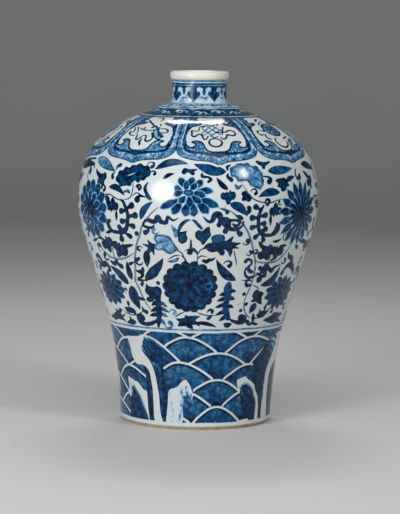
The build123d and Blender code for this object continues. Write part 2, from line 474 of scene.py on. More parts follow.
# Streaks over the rocks: each place gives an angle, an arc length, a width and a tone
rock_streaks = (
    ((-36.4, 84, 1.6, 0.3), (-32, 82.6, 2.4, 0.35), (-28.6, 80.4, 2.4, 0.42), (-26, 77.4, 2.2, 0.5),
     (-23.6, 75.6, 1.6, 0.6)),
    ((-37, 80.6, 1, 0.35), (-34.4, 76.6, 1.4, 0.5), (-32, 72.4, 1.4, 0.62), (-29, 69, 1, 0.8)),
    ((-37.8, 77.4, 1.2, 0.3), (-36, 74.6, 1.4, 0.5), (-33.6, 70.4, 1.4, 0.65), (-31, 66.8, 1, 0.8)),
    ((-39.4, 74.6, 2, 0.1), (-38.4, 72.2, 2, 0.3), (-36.8, 69, 1.4, 0.6)),
    ((-35.4, 82, 0.9, 0.5), (-31.6, 77.6, 1, 0.66), (-28.6, 73.6, 0.9, 0.82)),
    ((-33.2, 60.2, 1.4, 0.25), (-30, 58.6, 2.2, 0.45), (-27.4, 55.2, 2.6, 0.52), (-26, 48, 2.6, 0.58),
     (-25.6, 36, 2.6, 0.62), (-25.4, 24, 2.2, 0.66), (-25.2, 12, 1.4, 0.8)),
    ((-31.6, 57, 1, 0.4), (-29.2, 53.6, 1.6, 0.6), (-28, 47.6, 1.2, 0.75)),
    ((-9.2, 26, 2.2, 0.3), (-10.6, 18, 2.4, 0.2), (-11.4, 8, 2.2, 0.1), (-12, 4, 1.6, 0.05)),
    ((-9.4, 38, 1.4, 0.05), (-9.8, 32, 2.6, 0.2), (-8, 27.6, 2.6, 0.45), (-7.4, 23, 2, 0.7)),
    ((-6.6, 38.6, 1.6, 0.05), (-6.2, 33, 2.8, 0.25), (-5.6, 28.6, 2.6, 0.5), (-5.8, 24, 2, 0.75)),
    ((-3.2, 31, 1.4, 0.15), (-4, 27.6, 2, 0.35), (-4.8, 24.6, 1.4, 0.6)),
    ((-19, 31, 1.6, 0.02), (-17.4, 22, 2.4, 0.08), (-17, 10, 2.4, 0.05), (-17.4, 4, 1.6, 0.02)),
    ((-52.8, 37, 1.6, 0.05), (-50.8, 33.4, 2.4, 0.3), (-48.2, 29.6, 1.6, 0.6)),
    ((-55.8, 36, 1.4, 0.05), (-54.2, 31, 2.4, 0.25), (-54, 26.6, 2.2, 0.55), (-53.2, 23, 1.2, 0.8)),
    ((-47, 29, 1.6, 0.35), (-43.6, 21.6, 2, 0.3), (-40.4, 13, 1.8, 0.4), (-38.2, 5, 1.2, 0.6)),
    ((35, 38.4, 1.6, 0.2), (38, 40.2, 2, 0.15), (42, 38, 2, 0.25), (45.6, 33, 2, 0.3),
     (48.4, 26.6, 1.8, 0.4), (50.6, 18, 1.4, 0.6)),
    ((33.6, 36.6, 1.2, 0.1), (35.2, 34, 1.8, 0.4), (35.8, 29, 1.8, 0.7)),
    ((57.4, 80, 1, 0.2), (61, 80.4, 2.6, 0.35), (65, 80, 3.4, 0.22), (69, 77, 4, 0.08)),
    ((57, 76, 1.2, 0.6), (61, 76.4, 2.4, 0.5), (65, 74.6, 3.2, 0.35), (68.6, 71, 3, 0.12)),
    ((54, 72, 1, 0.75), (59, 71.4, 1.6, 0.62), (63.6, 69, 2.2, 0.45), (67, 65.6, 2, 0.2)),
    ((50.4, 69, 1.6, 0.5), (53.6, 66.6, 1.4, 0.7), (58, 63, 1.2, 0.78), (62.4, 60, 1.6, 0.4)),
    ((48, 64, 1, 0.7), (53, 58.6, 1.2, 0.8), (57, 50, 1.2, 0.78), (58.2, 38, 1, 0.8)),
    ((61, 50, 1.6, 0.3), (60.4, 44, 1.4, 0.2), (60, 30, 1, 0.1), (60.2, 8, 1, 0.1)),
)


def rocks(plan):
    for places in rock_shadows:
        patch(plan, places, tone=0.86, rim=0.96, rim_width=1.2)
    for places in bare_rocks:
        bare(plan, places)
    for places in rock_streaks:
        limb(plan, places)


def rings(plan, rows):
    """Lines right round the vase: each has its middle, its width, and a tone or None for white."""
    for arc, width, tone in rows:
        distance = np.abs(plan.arcs - arc)[:, None] - width / 2
        cells = plan.all_cells()
        distance = distance + np.zeros((1, plan.columns))
        if tone is None:
            plan.spare(cells, distance)
        else:
            plan.lay(cells, distance, tone)


def paint_waves():
    plan = Plan(low=0, high=94, columns=900, repeats=2)
    waves(plan)
    rocks(plan)
    rings(plan, wave_lines)
    return plan


def blade(
    plan, root, tip, width,
    bend=0.0, fullest=0.4, blunt=0.9, tone=0.8, fade=0.0, gap=0.0, gap_tone=None,
):
    """A leaf or petal from its root to its tip. It bends to the left, and its tone fades to the tip."""
    middle_arc = (root[1] + tip[1]) / 2
    radius = float(radius_at(middle_arc))
    across, up = math.radians(tip[0] - root[0]) * radius, tip[1] - root[1]
    long = math.hypot(across, up)
    share = np.linspace(0, 1, 11)
    swell = np.sin(math.pi * share ** (math.log(0.5) / math.log(fullest))) ** blunt
    sideways = bend * long * 4 * share * (1 - share)
    sides = []
    for side in (1, -1):
        off = sideways + side * width / 2 * swell
        x = across * share - up / long * off
        y = up * share + across / long * off
        sides.append(np.stack([root[0] + np.degrees(x / radius), root[1] + y], axis=1))
    ring = np.concatenate([sides[0], sides[1][-2:0:-1]])
    cells, x, y, spots = plan.window(ring, 2 + gap)
    distance = from_shape(x, y, spots)
    plan.clear_round(cells, distance, gap, gap_tone)
    start, end = spots[0], spots[10]
    run = max(np.hypot(*(end - start)), 1e-6)
    way = (end - start) / run
    along = ((x - start[0]) * way[0] + (y - start[1]) * way[1]) / run
    fill = tone - fade * np.clip(along, 0, 1)
    inner = np.clip((-distance - 0.5) / 0.8, 0, 1)
    plan.lay(cells, distance, between(np.maximum(fill + 0.15, 0.8), fill, inner))


def limb(plan, places, tone=0.9, thicker=1.0):
    """A smooth brush stroke. Each place gives an angle, an arc length, a width and sometimes a tone."""
    path = through(places)
    chunk = 10 if path.shape[1] < 4 else 4
    for first in range(0, len(path) - 1, chunk):
        piece = path[first:first + chunk + 1]
        cells, x, y, spots = plan.window(piece[:, :2], thicker * piece[:, 2].max() + 1)
        level = tone if path.shape[1] < 4 else piece[:, 3].mean()
        plan.lay(cells, from_line(x, y, spots, thicker * piece[:, 2] / 2), level)


def knob(plan, root, tip, size=2.4, tone=0.9):
    """A short stem that ends in a round knob."""
    halfway = ((root[0] + tip[0]) / 2, (root[1] + tip[1]) / 2, size * 0.9)
    limb(plan, [(*root, size), halfway, (*tip, size * 1.7)], tone)


def curl(plan, angle, arc, size=1.0, turn=0.0, hand=1, tone=0.9):
    """A small hook that ends in a round drop."""
    spot = Spot(angle, arc, turn, 1.15 * size, hand)
    places = spot.at([(-3.2, 0.8), (-2.2, 2.4), (0.0, 3.0), (1.9, 1.8), (1.8, -0.2), (0.7, -0.8)])
    widths = np.array([0.7, 1.1, 1.6, 2.1, 3.0, 3.3]) * size
    limb(plan, np.column_stack([places, widths]), tone)


def petals(plan, spot, count, inner, outer, width, start=0.0, squeeze=1.0, **finish):
    """A ring of petals round a spot."""
    for number in range(count):
        turn = math.radians(start) + 2 * math.pi * number / count
        way = np.array([math.cos(turn), math.sin(turn) * squeeze])
        root, tip = spot.at([way * inner, way * outer])
        blade(plan, root, tip, width * spot.size, **finish)


# The tone of the pale wash round the petals
PALE = 0.08

# The middle blossom: each petal's root, tip, width and where it is fullest, the far ones first
middle_blossom_petals = (
    ((-5.8, 232), (-8.6, 241.8), 5.6, 0.62), ((-3.6, 233), (-2.6, 242.8), 5.6, 0.62),
    ((-1, 232.5), (1.8, 239.8), 5.8, 0.65), ((-0.4, 231.5), (6.9, 229.8), 5.6, 0.62),
    ((-7.5, 231), (-10.8, 233.5), 5, 0.62), ((0.4, 224.5), (9.2, 215.6), 7, 0.58),
    ((-8.2, 222.5), (-17.4, 213.6), 6.4, 0.58), ((-1, 221.5), (4.7, 210), 7.4, 0.66),
    ((-7, 221), (-11.6, 209.2), 6.8, 0.66), ((-2.4, 220), (-1.5, 207.2), 7.6, 0.66),
    ((-4.9, 220), (-5.8, 207.2), 7.6, 0.66), ((-5.4, 230.5), (-5.3, 239), 5, 0.55),
    ((-3.2, 230.5), (-0.6, 237.6), 5, 0.55), ((-7, 229), (-11.2, 226.6), 5.4, 0.55),
    ((-2.2, 229), (3.5, 225.8), 6, 0.55), ((-5.6, 225.5), (-8.6, 219), 5.2, 0.6),
    ((-2.8, 225.5), (1.4, 219.2), 5.4, 0.6), ((-4.2, 225), (-3.3, 215.8), 5.4, 0.6),
)


def middle_blossom(plan):
    finish = {"blunt": 0.75, "tone": 0.88, "fade": 0.16, "gap": 0.9, "gap_tone": PALE}
    for root, tip, width, fullest in middle_blossom_petals:
        blade(plan, root, tip, width, fullest=fullest, **finish)
    turns = np.linspace(0, 2 * math.pi, 13)[:-1]
    heart = np.column_stack([4.6 * np.cos(turns), 2.7 * np.sin(turns)])
    patch(plan, Spot(-4.3, 228.4).at(heart), tone=0.6, rim=0.8, gap=0.9, gap_tone=PALE)


def left_blossom(plan):
    """A double blossom with rounded petals and a dark heart."""
    spot = Spot(-61.0, 208.5)
    petals(
        plan, spot, count=14, inner=12, outer=28, width=10, start=6,
        fullest=0.58, blunt=0.7, tone=0.86, fade=0.14, gap=1.0, gap_tone=PALE,
    )
    petals(
        plan, spot, count=10, inner=4, outer=18.5, width=7, start=20,
        fullest=0.6, tone=0.84, fade=0.2, gap=0.9, gap_tone=PALE,
    )
    petals(
        plan, spot, count=8, inner=0, outer=10.5, width=4, start=10,
        fullest=0.5, tone=1.0, gap=0.5, gap_tone=0.4,
    )


def right_aster(plan):
    """A blossom of many narrow pointed rays."""
    spot = Spot(56.5, 207.0)
    petals(
        plan, spot, count=17, inner=10, outer=31, width=7, start=4,
        fullest=0.6, blunt=1.2, tone=0.88, fade=0.1, gap=1.1, gap_tone=PALE,
    )
    petals(
        plan, spot, count=16, inner=3, outer=20, width=3.8, start=14,
        fullest=0.55, tone=0.94, gap=0.6, gap_tone=0.1,
    )
    petals(
        plan, spot, count=9, inner=0, outer=8.5, width=3.4,
        fullest=0.5, tone=1.0, gap=0.4, gap_tone=0.5,
    )


# The lighter curls in the great blossom: width, tone, and places in millimetres from its middle
blossom_curls = (
    (1.3, 0.6, ((9, 9), (16, 8), (20.5, 2.5), (19, -5), (12, -8), (7, -3.5), (9, 3))),
    (1.2, 0.66, ((12, 3.6), (16, 2.6), (16.4, -2), (12.6, -3.8))),
    (1.3, 0.62, ((6, 20), (10, 15), (17, 13.4))), (1.2, 0.6, ((4, 14), (8, 18.6), (13, 18))),
    (1.3, 0.64, ((7, -10.6), (13, -14), (18.6, -10.6))),
    (1.3, 0.62, ((2, -16), (8, -19.4), (13.4, -17))), (1.2, 0.68, ((-6, -11), (-1, -9.4), (3.4, -12))),
    (1.2, 0.7, ((-12, -15.4), (-6, -18), (-2, -15.4))),
    (1.1, 0.74, ((-18, -6), (-13.6, -9.4), (-9, -8))),
    (1.1, 0.74, ((-20, 4.6), (-15.6, 7.4), (-12, 4.4))),
    (1.1, 0.74, ((-14, 14.6), (-9, 12), (-6, 15.6))), (1.1, 0.7, ((-4, 20), (0, 15.6), (1.6, 9.4))),
    (1.1, 0.74, ((-8, 4), (-4.6, 7.4), (0.6, 6.4))),
)

# The great blossom's tiers of scallops, from the outside: how far out they stand, their number, radius
# and tone
blossom_tiers = ((21.6, 18, 4.4, 0.92), (15.4, 14, 4.4, 0.9), (9.4, 9, 4.2, 0.92))

# The great blossom's middle, the radius and tone of its ground, and its drops, each by its angle, arc
# length, radius and tone
blossom_middle = (-3.75, 137.8)
blossom_ground = (18.0, 0.88)
blossom_drops = ((6.6, 138.4, 3.4, 0.5), (6.6, 138.4, 2.2, 1), (-4.6, 140, 3.4, 1))


def scalloped_blossom(plan):
    """The great round blossom under the middle one, in tiers of scallops."""
    spot = Spot(*blossom_middle)
    dot(plan, *blossom_middle, *blossom_ground)
    for reach, count, size, tone in blossom_tiers:
        for number in range(count):
            turn = 2 * math.pi * (number + 0.5 * (count % 2)) / count
            place = spot.at([(reach * math.cos(turn), reach * math.sin(turn))])[0]
            light = 0.26 if math.cos(turn) > 0.1 else 0.12
            if reach < 20:
                dot(plan, *place, size + 0.6, tone - light)
            dot(plan, *place, size, tone)
    for width, tone, places in blossom_curls:
        line(plan, spot.at(places), width, tone)
    for drop in blossom_drops:
        dot(plan, *drop)


# The two low chrysanthemums: their middles, and how much lower they are than wide
chrysanthemum_middles = ((-59, 130.5), (56.5, 128.5))
chrysanthemum_squeeze = 0.74


def low_chrysanthemums(plan):
    for angle, arc in chrysanthemum_middles:
        spot = Spot(angle, arc)
        petals(
            plan, spot, count=13, inner=8, outer=23, width=7, squeeze=chrysanthemum_squeeze,
            fullest=0.55, blunt=1.1, tone=0.9, fade=0.06, gap=0.7, gap_tone=0.16,
        )
        petals(
            plan, spot, count=10, inner=2, outer=15.5, width=5.4, start=12,
            squeeze=chrysanthemum_squeeze, fullest=0.6, tone=0.92, gap=0.6, gap_tone=0.3,
        )
        dot(plan, angle, arc, 2.6, 0.98)


dark_cloud_outline = (
    (-42.2, 240.2), (-41.2, 244), (-39.4, 247), (-36.2, 249.6), (-33, 251.5), (-30.6, 253.4),
    (-28.8, 252.8), (-26.9, 252), (-24.7, 250.9), (-23.2, 247.8), (-23.4, 244), (-25, 240.9),
    (-27.2, 239.6), (-28.8, 237.1), (-30.3, 237.8), (-31.9, 237), (-33.4, 234), (-35.6, 232.8),
    (-38.4, 232.8), (-40.3, 234.6), (-41.8, 237),
)
# The pale cloud right of the middle is the same motif as the dark one; its pale wash is painted
# highlight over the blue
highlight_pale_cloud_outline = (
    (15.5, 247.8), (16.1, 252.1), (18.6, 254.6), (21.1, 256.5), (23.6, 255.5), (26.1, 254.6),
    (28.6, 252.1), (30.8, 250.3), (32.1, 245.3), (32.4, 239), (31.8, 234), (29.3, 232.1), (26.8, 233.4),
    (24.9, 235.9), (23.3, 239), (21.1, 239), (18.9, 239.6), (17.7, 242.8), (15.8, 244),
)

# The bumps along the edges of the clouds: angle, arc length and radius
dark_cloud_bumps = (
    (-41, 239, 3.2), (-40.2, 244, 3), (-37, 248, 2.8), (-33, 250.2, 3), (-29.6, 251.4, 3.2),
    (-25.8, 249.6, 3.2), (-24.6, 245, 3.2), (-26.8, 241, 3), (-29.4, 238.4, 2.4), (-34, 235.2, 2.8),
    (-38.4, 234.6, 3),
)
highlight_pale_cloud_bumps = (
    (16.8, 250, 2.8), (20.2, 254.4, 3), (24.6, 254, 2.8), (28.8, 250.6, 3.2), (31, 245.4, 2.8),
    (31.4, 239.4, 2.8), (29.8, 233.8, 2.6), (25.6, 236.6, 2.4), (19.6, 241.4, 2.8), (16.6, 245.4, 2.2),
)
dark_cloud_lines = (
    ((-40, 240.5), (-37, 243.5), (-33.5, 245.5)), ((-31, 251), (-29.5, 247), (-30.3, 242)),
    ((-26.5, 250), (-26.6, 245.5), (-28.2, 241.5)), ((-37.5, 235.5), (-36, 238.5), (-33, 240)),
)
highlight_pale_cloud_lines = (
    ((18.4, 252.5), (19.8, 249), (19.2, 245)), ((23.5, 253.5), (24.2, 249.5), (23.2, 246)),
    ((29.5, 249.5), (27.8, 246), (25.5, 245)), ((30.5, 241), (28, 241.5), (26, 243)),
)


def cloud_blossoms(plan):
    # The pale cloud's bumps, fill and lines are painted lighter than the dark cloud's, as painted
    # highlight
    for bumps, tone in ((dark_cloud_bumps, 0.97), (highlight_pale_cloud_bumps, 0.6)):
        for bump in bumps:
            dot(plan, *bump, tone)
    patch(plan, dark_cloud_outline, tone=0.84, rim=0.96, rim_width=1.4)
    for places in dark_cloud_lines:
        line(plan, places, 0.7, 0.99)
    line(plan, ((-35.4, 242.2), (-33.5, 243.3), (-31.5, 245.2)), 0.9, white=True)
    patch(plan, highlight_pale_cloud_outline, tone=0.34, rim=0.58, rim_width=1.8)
    for places in highlight_pale_cloud_lines:
        line(plan, places, 1.1, 0.56)


# Leaves: the angle and arc length of the root, then of the tip, and the width, bend, tone and fade
scroll_leaves = (
    (92, 252, 104, 245, 7.6, 0.05, 0.9, 0), (100, 231, 106, 240.6, 5, 0.1, 0.85, 0),
    (90, 243, 84, 236, 5, 0.1, 0.88, 0), (96, 128, 104, 112, 9, 0.08, 0.88, 0.2),
    (92, 100, 98, 109, 5, 0.1, 0.85, 0), (-21.2, 249.6, -4.4, 255, 7.6, 0.14, 0.85, 0.2),
    (13.8, 247.8, -2.2, 255.6, 10.4, 0.05, 0.78, 0.1), (-16.8, 240.6, -11, 245.6, 3.8, 0.1, 0.95, 0),
    (-61.4, 257, -43.6, 245.2, 10, 0.02, 0.24, -0.35), (-79, 245, -62, 251, 7.2, 0.05, 0.95, 0),
    (35.3, 247.8, 53.2, 249.8, 8.8, 0, 0.75, 0.2), (61.8, 253, 80, 245, 7.6, 0.05, 0.92, 0),
    (41.2, 228.2, 28.6, 224.2, 8, -0.08, 0.74, 0), (-46.6, 230.6, -36, 223, 6.4, 0.16, 0.88, 0),
    (-27.5, 202, -20.6, 219.4, 6.8, 0.12, 0.9, 0.35), (14.8, 219, 23.6, 206.8, 8.2, 0.1, 0.86, 0.1),
    (-29.4, 142.4, -17, 166.2, 9.8, -0.06, 0.88, 0.15), (21.6, 143.8, 9.6, 166, 8.6, 0.12, 0.84, -0.1),
    (-41, 136.8, -53.4, 153.6, 9.2, -0.05, 0.86, 0), (37.6, 137.4, 49.4, 157, 9.2, -0.22, 0.84, 0),
    (-37.8, 141.4, -39.2, 161, 6.8, 0.05, 0.92, 0), (-39.4, 136, -35.8, 111.6, 12.4, -0.08, 0.92, 0.1),
    (-25.4, 173, -26.4, 155, 7.4, -0.06, 0.92, 0.1), (-58.4, 181, -52.4, 178.4, 3.6, 0.1, 0.95, 0),
    (13.8, 231.2, 8.6, 242.8, 5, 0.05, 0.92, 0), (46, 237.4, 53.2, 241.8, 5, 0.06, 0.9, 0),
    (68, 238, 61.6, 246.6, 5, 0, 0.95, 0), (36, 173.6, 30.6, 183.4, 4.2, 0.05, 0.92, 0),
    (39, 181.6, 45.6, 184.6, 3.2, -0.1, 0.9, 0), (45, 174.6, 50.6, 176.4, 3.8, 0.1, 0.9, 0),
    (37, 120, 33.8, 109.6, 7, 0, 0.86, 0), (-49.6, 187.6, -45, 190.2, 3, -0.1, 0.95, 0),
    (0.2, 101.6, 12.9, 96.8, 4.2, 0.06, 0.95, 0), (-50, 238, -60, 246.8, 4.8, 0.1, 0.92, 0),
    (-40.8, 174, -32.4, 177.6, 4, 0, 0.94, 0), (5, 164, 9.4, 167.6, 2.8, -0.1, 0.9, 0),
    (-8.8, 166.6, -15.6, 162.4, 3.4, 0.1, 0.34, 0), (-29.6, 223, -24.2, 222.6, 2.4, 0.1, 0.9, 0),
    (-40.6, 209.6, -41.2, 198.8, 3.6, 0, 0.94, 0), (35.8, 207.6, 36.2, 196.4, 3.8, 0, 0.9, 0),
    (-45, 120, -44.6, 113.4, 3.6, 0, 0.92, 0), (45.2, 111, 45.4, 118.4, 3.8, 0, 0.9, 0),
    (46, 238, 40, 240, 4, 0, 0.85, 0), (-65, 176, -58, 180.6, 3.2, 0, 0.8, 0),
    (62, 172, 57.6, 176, 4, 0, 0.92, 0), (59.8, 181, 73, 176, 5, 0, 0.92, 0),
    (72, 186, 68, 184, 4, 0, 0.9, 0),
)

# Vines by their places; the double ones have a white line along their middle
double_vines = (
    ((-18.4, 214), (-21.3, 209.6), (-25, 200.9), (-27.2, 194), (-29.1, 185.3), (-31.3, 176.5),
     (-32.8, 167.8), (-33.8, 160.3), (-34.7, 151.5), (-35.5, 140.3), (-34.1, 132.8), (-31.9, 122.8),
     (-29.4, 115.3), (-26.9, 110.9)),
    ((9.9, 214.6), (13.6, 213.4), (17.4, 208.4), (21.1, 200.3), (24.3, 191.5), (26.8, 182.8),
     (28.9, 172.8), (30.8, 164), (31.6, 155.3), (31.8, 146.5), (30.8, 136.5), (29.3, 129),
     (28.6, 122.8)),
    ((-60.4, 173.5), (-55.6, 167.8), (-52.1, 164), (-47.8, 161.8), (-43.8, 161.8), (-38.8, 164),
     (-34, 168.4)),
    ((31.1, 163.2), (34.3, 161.2), (40.5, 160.3), (45.5, 161.9), (49.9, 167.8), (54, 177.5)),
)
single_vines = (
    ((28.6, 122.8), (29.3, 115.3), (31.8, 109), (35.5, 104)), ((-35.5, 140.3), (-41.3, 138)),
    ((-51.9, 221.5), (-45.6, 223.6), (-41.3, 220.3), (-36.9, 218.4)),
    ((-36.9, 219.4), (-33.1, 221.5), (-31.9, 226.5), (-31.9, 239)),
    ((20.2, 239), (23, 230), (24.9, 225), (28, 221), (31.8, 219), (35.5, 218.8), (40.5, 220.9),
     (44.3, 221.5)),
    ((70, 222), (76, 221), (84, 221)), ((41, 229), (41.6, 221.4)), ((-49.2, 229), (-49.8, 222.6)),
    ((0, 160), (0, 164.5), (2, 168.6), (5.4, 167.6)), ((-5.6, 160), (-5.8, 165), (-8, 168.6)),
    ((-8, 168.6), (-11.4, 168.2), (-15, 164.4)), ((-6, 163.6), (-7.6, 171), (-11, 175.4)),
    ((0.4, 162), (-0.4, 171.6), (-4, 175), (-6.4, 173.4)), ((0.4, 170), (1.6, 174.6), (4, 177)),
    ((0, 112.4), (3, 110.4), (6.5, 109.2), (12.5, 109)), ((-13.4, 106.4), (-10.6, 109.4), (-7, 112.2)),
    ((-53, 110), (-45, 105.6), (-37, 107.6), (-33, 113)), ((31.8, 138.8), (36.2, 135.6), (37, 131.6)),
    ((-47.2, 175), (-47.6, 166), (-46.8, 162)), ((39.8, 173), (40.2, 165), (39.6, 160.4)),
    ((-31.6, 223.4), (-29.4, 226.8), (-26.6, 224.6)), ((31.8, 150.4), (36.4, 150.2), (40.6, 153)),
    ((-34.7, 143.2), (-30.6, 142.4), (-27.8, 141.6)), ((-21.6, 219.6), (-24.4, 223.8), (-25, 229.6)),
    ((13.6, 219.6), (12.4, 214.6)), ((31.6, 146), (28, 143.8), (24.8, 143.6)),
    ((24.6, 119.2), (28.6, 121.8)), ((36.5, 104.2), (41.4, 104.4), (46.6, 105.6)),
    ((-32.4, 162.2), (-34.8, 165)), ((20.8, 104.4), (18.8, 106.4)),
    ((18.2, 174.6), (19.2, 168), (20.8, 158.4)), ((-53.4, 221), (-57, 221.4)),
    ((43.4, 189.2), (49.6, 196.2)),
)

